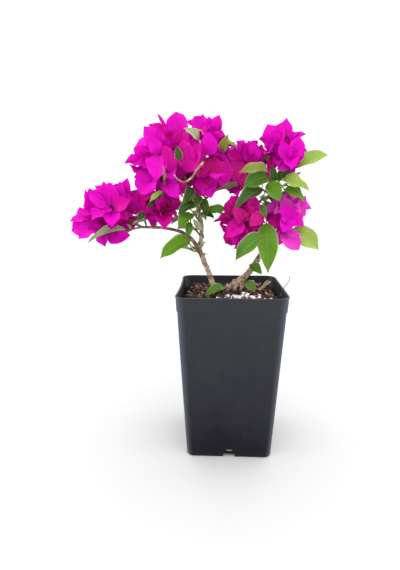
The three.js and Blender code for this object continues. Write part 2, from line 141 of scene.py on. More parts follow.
@dataclass(frozen=True)
class Mass:
    """A mass of bracts round an ellipsoid, whose stalk starts at a share of a limb's length."""

    limb: str
    share: float
    centre: tuple
    reach: tuple  # half of its width, depth and height
    count: int  # of triplets, before the finer ones
    seed: int
    size: float = 1  # share of the usual length of a bract
    tone: str = "bright"


@dataclass(frozen=True)
class ShownLeaf:
    """A leaf of the crown's face: its foot, its tip, and the heading and slope of its upper side."""

    foot: tuple
    tip: tuple
    tone: str
    width: float = 1  # share of the usual width
    crease: float = 1  # times the usual crease
    face: tuple = (-90, 40)


@dataclass(frozen=True)
class Bract(ShownLeaf):
    """A bract of the crown's face, laid out as a leaf is, with its inner side shown."""

    face: tuple = (-90, 10)


LIMBS = {
    "stem_left": Limb([
        (-11.5, 5, 147), (-14.6, 4, 155), (-20, 3, 170), (-26, 2, 185), (-29.5, 0, 196),
        (-28, 0, 207), (-28, 1, 220), (-31, 2, 232), (-35, 3, 248),
    ], (2.7, 1.5), wood="bark", flare=0.9),
    "stem_right": Limb([
        (-6, 5, 150), (1, 4, 156.5), (8, 3, 163), (17, 2, 172), (26, 1, 186), (33, 1, 200),
        (38, 2, 213), (41, 3, 225), (42, 3, 244),
    ], (3.6, 1.3), wood="bark", flare=3),
    "bough_left": Limb([
        (-38, -2, 206), (-46, -3, 211.5), (-62, -5, 215.5), (-84, -5, 216.5),
    ], (1.9, 1.1), "stem_left", 0.47, wood="brown_wood"),
    "bough_upper_left": Limb([(-44, 1, 254), (-55, -3, 262)], (1.2, 0.9), "stem_left", 0.93),
    "bough_back_left": Limb([(-37, 11, 248), (-42, 20, 256)], (1.2, 0.9), "stem_left", 0.88),
    "bough_middle": Limb([(-23, 4, 243), (-13, 6, 251), (-4, 8, 258)], (1.2, 0.8), "stem_left", 0.83),
    "bough_top_right": Limb([(42.5, 3, 255), (44.5, 1, 266)], (1.2, 1.0), "stem_right", 1),
    "bough_back_right": Limb([(37, 13, 246), (27, 24, 253)], (1.2, 0.9), "stem_right", 0.96),
    "bough_low_middle": Limb([
        (35, 0, 243), (28, -6, 242), (20, -11, 236),
    ], (1.2, 0.9), "stem_right", 0.9),
    "bough_low_right": Limb([(47, 0, 245), (53, -4, 241)], (1.1, 0.8), "stem_right", 0.93),
}

SPRAYS = {
    "leaves_soil": Spray("stem_left", 0.12, (-15, -3, 161), bare=True),
    "leaves_fork": Spray("stem_left", 0.4, (-38, -8, 200), [
        Leaf(0.5, 150, 0, 26, "green", face=(120, 60)),
    ]),
    "leaves_left_low": Spray("stem_left", 0.6, (-38, -7, 219), [
        Leaf(0.6, 140, 0, 24, "green", face=(90, 50)),
    ]),
    "leaves_left_inner": Spray("stem_left", 0.8, (-22, -4, 231), [
        Leaf(0.5, -28, -20, 13, "deep"),
        Leaf(0.8, 50, -10, 26, "green", face=(60, 60)),
    ]),
    "leaves_left_high": Spray("stem_left", 0.9, (-41, -5, 239), [
        Leaf(0.7, 130, -20, 24, "green", face=(110, 60)),
    ]),
    "leaves_middle": Spray("bough_middle", 0.35, (-29, -5, 248), [
        Leaf(1, -110, -45, 21, "deep", face=(-80, 20)),
    ]),
    "leaves_left_end": Spray("bough_left", 0.92, (-97, -13, 213), [
        Leaf(0.8, 150, -30, 30, "green", face=(120, 50)),
    ]),
    "leaves_upper_left": Spray("bough_upper_left", 0.8, (-59, -18, 252), [
        Leaf(0.6, 160, -50, 24, "green", face=(130, 40)),
    ]),
    "leaves_upper_middle": Spray("bough_middle", 0.95, (-9, 7, 283), [
        Leaf(0.95, 40, 60, 16, "olive", face=(0, 0)),
    ]),
    "leaves_right_inner": Spray("bough_top_right", 0.3, (27, -3, 265), [
        Leaf(0.2, -121, 57, 22, "deep", face=(-60, 10)),
        Leaf(0.5, 120, 10, 28, "green", face=(90, 60)),
    ]),
    "leaves_right_outer": Spray("bough_top_right", 0.6, (54, 1, 269), [
        Leaf(0.5, 70, -10, 30, "green", face=(80, 60)),
    ]),
    "leaves_right_middle": Spray("bough_top_right", 0.12, (44, -9, 254), [
        Leaf(0.4, 60, -30, 26, "green", face=(80, 50)),
    ]),
    "leaves_low_middle": Spray("stem_right", 0.83, (31, -9, 233), [
        Leaf(1, -150, -20, 17, "green"),
        Leaf(0.3, 120, 40, 22, "green", face=(90, 30)),
    ]),
    "leaves_low_left": Spray("stem_right", 0.62, (27, -7, 209), [
        Leaf(0.4, 150, -20, 28, "green", face=(110, 60)),
    ]),
    "leaves_low_right": Spray("stem_right", 0.82, (53, 0, 218), [
        Leaf(0.7, 80, -20, 28, "fresh", face=(80, 60)),
    ]),
    "leaves_back_left": Spray("stem_left", 0.7, (-40, 26, 232), [
        Leaf(1, 120, 5, 30, "green", face=(100, 50)),
        Leaf(0.75, 60, -15, 28, "fresh", face=(70, 60)),
        Leaf(0.6, 165, -20, 28, "green", face=(130, 60)),
    ]),
    "leaves_back_right": Spray("stem_right", 0.86, (34, 26, 238), [
        Leaf(1, 80, 10, 30, "fresh", face=(90, 50)),
        Leaf(0.75, 20, -25, 30, "green", face=(60, 60)),
        Leaf(0.6, 150, -10, 30, "green", face=(110, 60)),
    ]),
    "leaves_stem_middle": Spray("stem_right", 0.37, (24, -5, 180), bare=True),
    "leaves_stem_foot": Spray("stem_right", 0.22, (14, -5, 168), bare=True),
}

# Each row is a limb, a share of it, the centre, the reach, the count, the seed, the size and the tone.
BLOSSOMS = {
    "blossom_left": Mass("bough_left", 1, (-113, -5, 228), (31, 28, 24), 11, 25),
    "blossom_left_inner": Mass("bough_left", 0.66, (-66, -3, 232), (16, 18, 12), 4, 31, 0.75, "deep"),
    "blossom_upper_left": Mass("bough_upper_left", 1, (-65, -8, 272), (20, 27, 32), 11, 33),
    "blossom_upper_middle": Mass("stem_left", 1, (-24, -6, 281), (20, 27, 36), 11, 32),
    "blossom_middle": Mass("bough_middle", 1, (12, 8, 273), (18, 20, 19), 6, 28, 0.8),
    "blossom_inner": Mass("bough_middle", 0.7, (-13, -1, 267), (20, 20, 15), 6, 27, 0.85, "shaded_crimson"),
    "blossom_back_left": Mass("bough_back_left", 1, (-49, 38, 271), (22, 21, 24), 6, 41, 0.9),
    "blossom_back_right": Mass("bough_back_right", 1, (14, 40, 268), (20, 20, 21), 6, 42, 0.9),
    "blossom_top_right": Mass("bough_top_right", 1, (44, -4, 283), (9, 18, 20), 5, 36, 0.85),
    "blossom_low_middle": Mass("bough_low_middle", 1, (10, -15, 221), (16, 20, 25), 7, 12, 0.85, "shaded_crimson"),
    "blossom_low_right": Mass("bough_low_right", 1, (50, -8, 229), (8, 14, 10), 4, 50, 0.75, "pink"),
    "blossom_lowest": Mass("stem_right", 0.75, (52, -11, 212), (7, 7, 4), 2, 34, 0.75, "pink"),
}

# The leaves that show in front, spray by spray. A petiole joins each to its spray's twig.
FACE_LEAVES = {
    "leaves_right_inner": [
        ShownLeaf((30, -16, 261), (8, -24, 253), "green", width=1.5, crease=1.2, face=(-90, 30)),
        ShownLeaf((30, -18, 265), (3, -28, 261), "olive", width=1.0, crease=1.7, face=(-80, 50)),
        ShownLeaf((26, -18, 251), (0, -28, 232), "deep", width=0.95, crease=1.2, face=(-100, 40)),
        ShownLeaf((6, -4, 254), (-16, -6, 247), "pale", width=0.7, crease=1.3, face=(-90, 50)),
        ShownLeaf((37, -8, 257), (34, -10, 271), "deep", width=1.1, face=(-90, 20)),
        ShownLeaf((22, -16, 237), (30, -20, 225), "green", width=1.2, crease=1.2, face=(-80, 30)),
        ShownLeaf((35, 0, 275), (22, -2, 280), "olive", width=0.9, crease=1.2),
    ],
    "leaves_right_middle": [
        ShownLeaf((32, -14, 257), (42, -20, 239), "fresh", width=1.35, face=(-100, 20)),
        ShownLeaf((45, -12, 250), (66, -14, 240), "fresh", width=1.2, crease=1.2, face=(-80, 45)),
        ShownLeaf((39, -8, 259), (53, -10, 267), "deep", width=1.1, face=(-80, 40)),
    ],
    "leaves_right_outer": [
        ShownLeaf((44, -10, 259), (68, -14, 247), "light", width=1.2, face=(-80, 35)),
        ShownLeaf((53, -4, 269), (86, -6, 281.5), "light", width=0.85, crease=1.3, face=(-95, 35)),
        ShownLeaf((55, -4, 260), (62, -6, 266), "pale", width=0.8, crease=1.3),
    ],
    "leaves_upper_middle": [
        ShownLeaf((-29, -26, 291), (-42, -32, 299), "pale", width=1.0, crease=1.2, face=(-90, 30)),
        ShownLeaf((-10, -12, 282), (-4, -17, 297), "olive", crease=1.2, face=(-90, 20)),
        ShownLeaf((-9, -12, 289), (5, -15, 286), "olive", width=0.9, crease=1.4, face=(-90, 50)),
    ],
    "leaves_left_inner": [
        ShownLeaf((-24, -6, 229), (-2, -10, 233), "green", crease=1.3, face=(-90, 50)),
        ShownLeaf((-28, -6, 242), (-22, -10, 227), "deep", width=1.2, face=(-80, 20)),
    ],
    "leaves_left_high": [
        ShownLeaf((-33, -8, 247), (-45, -14, 235), "green", width=1.2, face=(-100, 30)),
        ShownLeaf((-33, -10, 239), (-49, -16, 228), "deep", width=1.15, crease=1.1, face=(-100, 30)),
    ],
    "leaves_middle": [
        ShownLeaf((-35, -10, 252), (-42, -14, 239), "deep", width=1.2, face=(-90, 20)),
    ],
    "leaves_left_low": [
        ShownLeaf((-36, -8, 229), (-49, -16, 215), "fresh", width=1.3, face=(-100, 35)),
        ShownLeaf((-38, -8, 221), (-39, -12, 207), "green", width=1.1, crease=1.2, face=(-100, 20)),
        ShownLeaf((-29, -8, 214), (-36, -10, 225), "pale", crease=1.3, face=(-80, 20)),
    ],
    "leaves_fork": [
        ShownLeaf((-38, -6, 205), (-67, -14, 187), "fresh", crease=1.3, face=(-80, 45)),
        ShownLeaf((-28, -6, 197), (-29, -8, 210), "pale", width=0.7, crease=1.4, face=(-60, 10)),
    ],
    "leaves_left_end": [
        ShownLeaf((-96, -16, 215), (-133, -22, 203), "pale", width=0.62, crease=2.6, face=(-80, 50)),
        ShownLeaf((-79, -8, 223), (-92, -10, 219), "pale", width=0.7, crease=1.6, face=(-80, 40)),
        ShownLeaf((-79, -8, 231), (-87, -10, 222), "deep", width=1.1, face=(-80, 20)),
    ],
    "leaves_upper_left": [
        ShownLeaf((-60, -22, 248), (-72, -26, 238), "light", width=0.8, crease=1.6, face=(-90, 50)),
        ShownLeaf((-68, -10, 240), (-77, -12, 234), "deep", width=0.9, crease=1.2, face=(-90, 30)),
        ShownLeaf((-45, -34, 274), (-47, -38, 285), "deep", width=1.2, crease=1.2, face=(-90, 20)),
        ShownLeaf((-58, -34, 257), (-58, -38, 269), "olive", width=0.45, crease=1.6, face=(-70, 10)),
    ],
    "leaves_low_middle": [
        ShownLeaf((31, -14, 221), (33, -22, 175), "fresh", width=0.85, face=(-95, 14)),
    ],
    "leaves_low_left": [
        ShownLeaf((26, -31, 211), (1, -36, 190), "green", width=1.0, crease=1.4, face=(-100, 45)),
    ],
    "leaves_low_right": [
        ShownLeaf((56, -4, 215), (82, -8, 195), "light", width=1.15, face=(-85, 20)),
    ],
    "leaves_stem_middle": [
        ShownLeaf((18, -9, 182), (29, -14, 173), "green", width=1.35, face=(-85, 35)),
    ],
    "leaves_soil": [
        ShownLeaf((-5, -6, 160), (-26, -21, 153), "green", width=0.72, crease=1.2, face=(-80, 62)),
    ],
    "leaves_stem_foot": [
        ShownLeaf((14, -6, 165), (24, -14, 157), "green", width=1.3, face=(-80, 45)),
    ],
}

# The broad bracts that give the crown's face its shape. The seeded ones stand round and behind them.
FACE_BRACTS = {
    "blossom_left": [
        Bract((-111, -12, 234), (-115, -14, 258), "bright", 0.7),
        Bract((-105, -18, 236), (-109, -18, 257), "bright", 0.75, face=(-80, 15)),
        Bract((-99, -8, 239), (-93, -12, 261), "bright", 0.7),
        Bract((-100, -14, 237), (-99, -16, 258), "bright", 0.7, face=(-95, 10)),
        Bract((-107, -22, 234), (-121, -34, 223), "bright", 1.0, face=(-100, 50)),
        Bract((-108, -20, 236), (-127, -22, 249), "bright", 0.85, face=(-95, 20)),
        Bract((-121, -8, 225), (-137, -10, 233), "bright", 0.4, face=(-90, 0)),
        Bract((-126, -8, 225), (-149, -10, 221), "bright", 0.7, face=(-100, 40)),
        Bract((-129, -4, 218), (-150, -8, 213), "bright", 1.05, face=(-90, 20)),
        Bract((-122, -12, 220), (-141, -14, 206), "bright", 0.85, face=(-90, 20)),
        Bract((-116, -9, 210), (-93, -11, 209), "bright", 0.95, face=(-90, 0)),
        Bract((-104, -24, 234), (-88, -30, 242), "deep", 0.95, face=(-80, 20)),
        Bract((-104, -20, 232), (-91, -24, 225), "deep", 0.9, face=(-80, 10)),
        Bract((-106, -24, 232), (-103, -36, 218), "bright", 1.1, face=(-90, 40)),
    ],
    "blossom_left_inner": [
        Bract((-98, -4, 231), (-86, -6, 251), "bright", 0.85),
        Bract((-87, -5, 230), (-83, -7, 252), "deep", 0.9),
        Bract((-79, -2, 231), (-78, -4, 248), "deep", 1.0),
    ],
    "blossom_upper_left": [
        Bract((-48, -4, 296), (-50, -6, 317), "bright", 1.2),
        Bract((-58, -8, 302), (-66, -8, 315), "bright", 0.3, face=(-90, 0)),
        Bract((-60, -14, 283), (-77, -16, 303), "bright", 0.85, face=(-100, 15)),
        Bract((-55, -8, 292), (-74, -8, 306), "deep", 0.7),
        Bract((-66, -10, 278), (-87, -12, 286), "bright", 0.55, face=(-100, 10)),
        Bract((-64, -18, 274), (-90, -20, 273), "bright", 0.9, face=(-110, 20)),
        Bract((-62, -26, 278), (-64, -36, 257), "bright", 1.0, face=(-100, 20)),
        Bract((-67, -14, 263), (-87, -18, 260), "bright", 0.8, face=(-100, 10)),
        Bract((-68, -18, 264), (-82, -20, 246), "bright", 1.15, face=(-100, 10)),
        Bract((-72, -12, 258), (-78, -14, 240), "deep", 1.0, face=(-90, 10)),
        Bract((-52, -30, 265), (-57, -34, 286), "deep", 0.7, face=(-75, 10)),
        Bract((-63, -22, 279), (-70, -24, 293), "bright", 0.95, face=(-100, 25)),
        Bract((-59, -20, 259), (-47, -26, 242), "bright", 0.85),
        Bract((-52, -16, 254), (-39, -18, 253), "deep", 0.8),
        Bract((-61, -12, 259), (-65, -14, 244), "deep", 0.9),
        Bract((-50, -6, 286), (-57, -8, 302), "deep", 0.9),
    ],
    "blossom_upper_middle": [
        Bract((-38, -28, 267), (-42, -32, 291), "deep", 0.8),
        Bract((-41, -28, 265), (-28, -32, 287), "deep", 0.85),
        Bract((-25, -6, 302), (-27, -6, 315), "bright", 0.5),
        Bract((-47, -16, 280), (-43, -20, 301), "deep", 1.0),
        Bract((-21, -8, 301), (-21, -8, 312), "bright", 0.9),
        Bract((-18, -4, 296), (-12, -6, 314), "bright", 0.8),
        Bract((-28, -6, 295), (-37, -8, 303), "bright", 1.0, face=(-100, 10)),
        Bract((-23, -13, 297), (-34, -15, 311), "bright", 1.15, face=(-100, 10)),
        Bract((-19, -10, 280), (-9, -10, 301), "deep", 0.85, face=(-80, 10)),
        Bract((-21, -22, 278), (-22, -26, 297), "bright", 1.0, face=(-85, 10)),
        Bract((-24, -24, 276), (-34, -28, 289), "deep", 1.0),
        Bract((-20, -18, 278), (-17, -22, 257), "shaded_crimson", 1.0, face=(-85, 0)),
        Bract((-23, -20, 276), (-31, -24, 260), "shaded_crimson", 1.0, face=(-95, 0)),
        Bract((-24, -12, 266), (-25, -16, 249), "deep", 1.0, face=(-90, 0)),
        Bract((-21, -12, 272), (-11, -14, 281), "deep", 0.9, face=(-80, 10)),
    ],
    "blossom_inner": [
        Bract((-11, -10, 273), (-18, -12, 248), "deep", 0.9, face=(-90, 0)),
        Bract((-6, -16, 275), (-10, -18, 252), "deep", 0.85, face=(-90, 0)),
        Bract((0, -12, 274), (9, -14, 253), "shaded_crimson", 0.9, face=(-80, 0)),
        Bract((-27, -6, 263), (-30, -8, 243), "shaded_crimson", 0.9, face=(-90, 0)),
    ],
    "blossom_middle": [
        Bract((18, -2, 272), (14, -4, 293), "bright", 0.95, face=(-85, 10)),
        Bract((20, 0, 272), (26, -2, 290), "deep", 0.8, face=(-75, 10)),
        Bract((9, -4, 271), (-5, -6, 283), "deep", 0.75, face=(-95, 10)),
        Bract((5, -2, 271), (7, -2, 288), "deep", 0.8),
        Bract((5, -10, 272), (-2, -14, 256), "deep", 1.0, face=(-90, 0)),
        Bract((11, -8, 272), (24, -10, 270), "shaded_crimson", 0.9, face=(-80, 10)),
    ],
    "blossom_top_right": [
        Bract((39, -4, 283), (30, -2, 307), "bright", 0.85, face=(-100, 5)),
        Bract((42, -6, 287), (46, -6, 311), "bright", 0.7, face=(-80, 10)),
        Bract((40, -10, 283), (34, -12, 302), "bright", 0.8, face=(-100, 10)),
        Bract((39, -6, 279), (32, -8, 265), "shaded_crimson", 0.9, face=(-100, 0)),
        Bract((48, -18, 276), (54, -22, 295), "bright", 0.95, face=(-70, 15)),
        Bract((49, -14, 275), (61, -18, 284), "bright", 0.9, face=(-50, 15)),
        Bract((47, -20, 275), (39, -24, 290), "bright", 0.85, face=(-110, 15)),
        Bract((48, -16, 277), (48, -30, 265), "bright", 0.95, face=(-90, 45)),
        Bract((49, -14, 275), (57, -20, 270), "deep", 0.9, face=(-60, 20)),
        Bract((30, -4, 290), (27, -4, 295), "bright", 0.5),
    ],
    "blossom_low_middle": [
        Bract((10, -14, 231), (-2, -16, 245), "bright", 0.95, face=(-100, 10)),
        Bract((5, -18, 224), (-9, -20, 222), "deep", 0.85, face=(-100, 10)),
        Bract((7, -24, 220), (5, -28, 199), "bright", 0.9, face=(-90, 0)),
        Bract((9, -26, 223), (-5, -30, 209), "deep", 0.95, face=(-100, 10)),
        Bract((25, -26, 230), (14, -32, 219), "shaded_crimson", 0.95, face=(-80, 10)),
        Bract((11, -26, 223), (0, -30, 235), "shaded_crimson", 0.95, face=(-95, 10)),
        Bract((15, -20, 228), (20, -22, 245), "deep", 0.9, face=(-80, 10)),
        Bract((14, -20, 220), (16, -24, 207), "shaded_crimson", 0.9, face=(-90, 0)),
    ],
    "blossom_low_right": [
        Bract((52, -8, 228), (66, -10, 245), "pink", 0.85),
        Bract((54, -17, 224), (41, -22, 235), "bright", 1.05, face=(-100, 10)),
        Bract((48, -17, 227), (61, -23, 219), "bright", 1.0, face=(-80, 10)),
        Bract((51, -18, 228), (44, -24, 213), "bright", 1.0, face=(-95, 0)),
        Bract((50, -15, 226), (58, -20, 239), "pink", 1.0),
    ],
    "blossom_lowest": [
        Bract((46, -14, 214), (61, -18, 197), "pink", 0.95),
        Bract((48, -12, 214), (43, -14, 201), "pink", 0.95, face=(-110, 0)),
        Bract((48, -16, 214), (61, -18, 209), "pink", 0.7, face=(-80, 20)),
    ],
}

# Thin things beside the masses, from foot to tip.
HOOKED_TWIG = [
    (-49, -38, 262), (-46, -40, 258), (-40, -41, 256), (-34, -40, 260), (-31, -38, 265), (-25, -36, 272),
]
TENDRIL = [(-30, -24, 281), (-28, -31, 288), (-31, -34, 293), (-28, -34, 297), (-25, -32, 294)]
THREAD = [
    (47, -10, 152), (49, -10, 157), (51, -10, 161.5), (54, -10, 166), (55.5, -10, 170), (54.2, -10, 172),
]
STUB = [(24, 1, 151), (30, 3, 156), (35, 5, 160), (40, 6, 163)]
STUB_FORK = [(33, 4, 158), (34, 3, 162), (37, 3, 165)]
# A pale sliver at the top of the front drain notch.
NOTCH_SLIVER = [(-2.5, -39, 7), (0, -40, 7.3), (3, -39.6, 7.2)]
SURFACE_ROOTS = [
    [(5, 3, 159), (0, 0, 157), (-3, -2, 154), (-6, -3, 151.5)],
    [(8, 2, 161), (5, -2, 158), (3, -4, 154), (2, -6, 151)],
    [(11, 2, 163), (11, -1, 159), (10, -4, 155), (11, -6, 151.5)],
    [(4, 6, 160), (-1, 9, 156), (-5, 12, 152)],
]
THORNS = [  # limb, share of its length, heading and length
    ("stem_left", 0.55, 0, 5),
    ("stem_left", 0.44, -10, 6),
    ("stem_right", 0.3, 200, 3),
]

# How a triplet of bracts is held and placed, as in the plan.
BELL_OPEN = (28, 8)  # degrees that a bract leans out, and the spread of that
BELL_ROLL = 25  # degrees that it turns about its own length
BELL_STAND = 0.5  # from the stalk's end to its foot
BELL_APART = 5  # least distance of a triplet from its mass's centre
SIZES = (0.85, 0.3)  # least share of the usual length, and spread
DEPTHS = (0.7, 0.35)  # how far below its mass's rim a triplet starts, in bract lengths, and spread
COVER = 0.9  # share of the rim that has triplets
STALK_REACH = 0.6  # share of the mass's stalk along which the triplets' stalks start
SKYWARD = 0.3  # how much a triplet's axis leans up
TRIES = 24  # at a triplet, before it is left out
CROSSINGS = 1  # how many bracts of its mass a bract may cross
SHOWN_CROSSINGS = 1  # and how many of the crown's face
FINE_CROSSINGS = 2  # a finer triplet may slip in between more of the first ones
FINE_SIZE = 0.8  # times the first ones' size
FINE_DEPTH = 1.75  # and their depth
PETIOLE_SHARE = 0.16  # of a sprayed leaf's length
PETIOLE_TUCK = 1.5  # how far a petiole runs under its leaf

# Radii of the thin shoots, at the foot and at the tip.
PETIOLE = (0.62, 0.42)
SPRAY_TWIG = (1.05, 0.6)
MASS_STALK = (1.3, 0.9)
TRIPLET_STALK = (0.6, 0.8)

# ---------------------------------------------------------------- colours


def paint(code):
    """A linear colour from its six hexadecimal digits."""
    shares = [int(code[i : i + 2], 16) / 255 for i in (0, 2, 4)]
    return [s / 12.92 if s <= 0.04045 else ((s + 0.055) / 1.055) ** 2.4 for s in shares]


# The deep and crimson tones are darker copies of the magenta: painted shade for bracts that sit inside the
# masses, and also a real difference of tone between bracts.
BRACT_TONES = {"bright": "da00b8", "deep": "c80092", "shaded_crimson": "b60672", "pink": "e23cc0"}
PALE_VEINED = ("shaded_crimson", "pink")  # tones whose veins are paler than the rest of the bract
LEAF_TONES = {
    "deep": "34561a",
    "green": "4a7a1c",
    "fresh": "5b8a14",
    "light": "96b450",
    "olive": "868d3c",
    "pale": "a0ae86",
}
SMALL_LEAF_TONES = ("light", "fresh", "green")
DARK_FOOT_HEIGHTS = (0.151, 0.162)  # heights between which the bark's darker foot fades, in metres
CHIP_TONES = {  # each with its weight among the chips
    "2e1f1b": 6,
    "4a302a": 7,
    "64463d": 5,
    "806157": 3,
    "a08474": 1.5,
    "bca792": 0.7,
}
LITTER_TONES = {
    "dry_stub": "b39c7c",
    "dry_bark": "7d6450",
    "fallen_bract": "6e2450",
    "dry_thread": "77756f",
    "notch_sliver": "a9a2a0",
}

# ---------------------------------------------------------------- settings


class PotSettings(bpy.types.PropertyGroup):
    """Sizes and colour of the nursery pot."""

    wall: FloatProperty(
        name="Wall", description="Thickness of the moulded wall", default=1.3 * MM, unit="LENGTH"
    )
    # The plastic is near black. Its purple tint is a painted reflection of magenta from below the pot.
    colour: FloatVectorProperty(
        name="Plastic", description="Colour of the plastic", default=paint("0a0719"), subtype="COLOR"
    )
    # This grey shows as dust flecks, and as a grey that makes the wall lighter towards the rim.
    dust: FloatVectorProperty(
        name="Dust", description="Colour of the dust", default=paint("323538"), subtype="COLOR"
    )


class MixSettings(bpy.types.PropertyGroup):
    """What lies on the potting mix."""

    chips: IntProperty(name="Bark chips", description="How many bark chips lie on the mix", default=3000)
    grains: IntProperty(
        name="White grains", description="How many white grains lie on the mix", default=120
    )
    chip_length: FloatProperty(
        name="Chip length", description="Length of a large bark chip", default=8 * MM, unit="LENGTH"
    )


class BarkSettings(bpy.types.PropertyGroup):
    """Relief and colours of the stems and boughs."""

    relief: FloatProperty(
        name="Relief", description="Height of the bark's ridges, as a share of the radius", default=0.16
    )
    old: FloatVectorProperty(
        name="Bark", description="Colour of old bark", default=paint("c2a68f"), subtype="COLOR"
    )
    young: FloatVectorProperty(
        name="Green wood", description="Colour of young wood", default=paint("76753f"), subtype="COLOR"
    )


class LeafSettings(bpy.types.PropertyGroup):
    """Shape of the leaves."""

    width: FloatProperty(
        name="Width", description="Greatest width, as a share of the length", default=0.52
    )
    thickness: FloatProperty(
        name="Thickness", description="Thickness along the midrib", default=0.45 * MM, unit="LENGTH"
    )
    fill: IntProperty(
        name="Small leaves", description="Small leaves added along each spray's twig", default=2
    )


class BractSettings(bpy.types.PropertyGroup):
    """Shape and number of the bracts."""

    length: FloatProperty(
        name="Length", description="Length of a usual bract", default=27 * MM, unit="LENGTH"
    )
    width: FloatProperty(
        name="Width", description="Greatest width, as a share of the length", default=0.84
    )
    thickness: FloatProperty(
        name="Thickness", description="Thickness along the midrib", default=0.35 * MM, unit="LENGTH"
    )
    fill: FloatProperty(
        name="Filling", description="Finer triplets added, as a share of the first ones", default=2.5
    )


class StageSettings(bpy.types.PropertyGroup):
    """The floor and the studio light."""

    floor: FloatVectorProperty(
        name="Floor", description="Colour of the floor", default=(0.95, 0.95, 0.95), subtype="COLOR"
    )
    light: FloatProperty(name="Light", description="Strength of the soft lights", default=1.0)


class PlantSettings(bpy.types.PropertyGroup):
    """All settings of the potted plant."""

    pot: PointerProperty(type=PotSettings)
    mix: PointerProperty(type=MixSettings)
    bark: PointerProperty(type=BarkSettings)
    leaf: PointerProperty(type=LeafSettings)
    bract: PointerProperty(type=BractSettings)
    stage: PointerProperty(type=StageSettings)


# ---------------------------------------------------------------- curves and directions


def stream(seed):
    """A function that gives the plan's repeatable numbers from 0 to 1."""
    state = seed & 0xFFFFFFFF

    def number():
        nonlocal state
        state = (state + 0x6D2B79F5) & 0xFFFFFFFF
        t = ((state ^ (state >> 15)) * (state | 1)) & 0xFFFFFFFF
        t ^= (t + ((t ^ (t >> 7)) * (t | 61))) & 0xFFFFFFFF
        return (t ^ (t >> 14)) / 2**32

    return number


def direction(heading, slope):
    """The unit direction of a heading from +X towards +Y and a slope above the horizon, in degrees."""
    h, s = math.radians(heading), math.radians(slope)
    return Vector((math.cos(s) * math.cos(h), math.cos(s) * math.sin(h), math.sin(s)))


def square(v, d):
    """What is left of v, as a unit vector, once its part along the unit vector d is taken away."""
    left = v - d * v.dot(d)
    if left.length < 1e-3:
        left = Vector((d.z, d.x, d.y))
        left -= d * left.dot(d)
    return left.normalized()


def thirds(axis, spin):
    """Three directions square to an axis, a third of a turn apart. At no spin the first looks up."""
    across = square(Vector((0.3, 0.2, 1)), axis)
    return [Quaternion(axis, math.radians(spin + 120 * third)) @ across for third in range(3)]


class Curve:
    """A centripetal Catmull-Rom curve through points, measured along its length."""

    STEPS = 24

    def __init__(self, points):
        knots = [Vector(p) for p in points]
        knots = [2 * knots[0] - knots[1], *knots, 2 * knots[-1] - knots[-2]]
        places = []
        for four in zip(knots, knots[1:], knots[2:], knots[3:]):
            places += [self.between(*four, step / self.STEPS) for step in range(self.STEPS)]
        places.append(knots[-2])
        self.places = np.array(places)
        steps = np.linalg.norm(np.diff(self.places, axis=0), axis=1)
        self.lengths = np.concatenate([[0], np.cumsum(steps)])
        self.length = self.lengths[-1]

    @staticmethod
    def between(before, start, end, after, share):
        """The place at a share of the way from start to end."""
        near, own, far = (math.sqrt(way.length) for way in (start - before, end - start, after - end))
        leave = ((start - before) / near - (end - before) / (near + own) + (end - start) / own) * own
        enter = ((end - start) / own - (after - start) / (own + far) + (after - end) / far) * own
        squared, cubed = share**2, share**3
        return (
            start
            + leave * share
            + (3 * (end - start) - 2 * leave - enter) * squared
            + (2 * (start - end) + leave + enter) * cubed
        )

    def at(self, share):
        """The place at a share of the length."""
        return Vector([np.interp(share * self.length, self.lengths, self.places[:, k]) for k in range(3)])


def bow(foot, tip, rise, steps):
    """Places along a twig from foot to tip, bowed up by a share of its length."""
    middle = foot.lerp(tip, 0.5) + UP * (tip - foot).length * rise
    shares = [step / steps for step in range(steps + 1)]
    return [foot * (1 - s) ** 2 + middle * 2 * s * (1 - s) + tip * s**2 for s in shares]


# ---------------------------------------------------------------- meshes from many small shapes


def new_object(name, points, faces):
    """An object in the scene, with a mesh of points in millimetres."""
    mesh = bpy.data.meshes.new(name)
    mesh.from_pydata((points * MM).tolist(), [], faces)
    made = bpy.data.objects.new(name, mesh)
    bpy.context.scene.collection.objects.link(made)
    return made


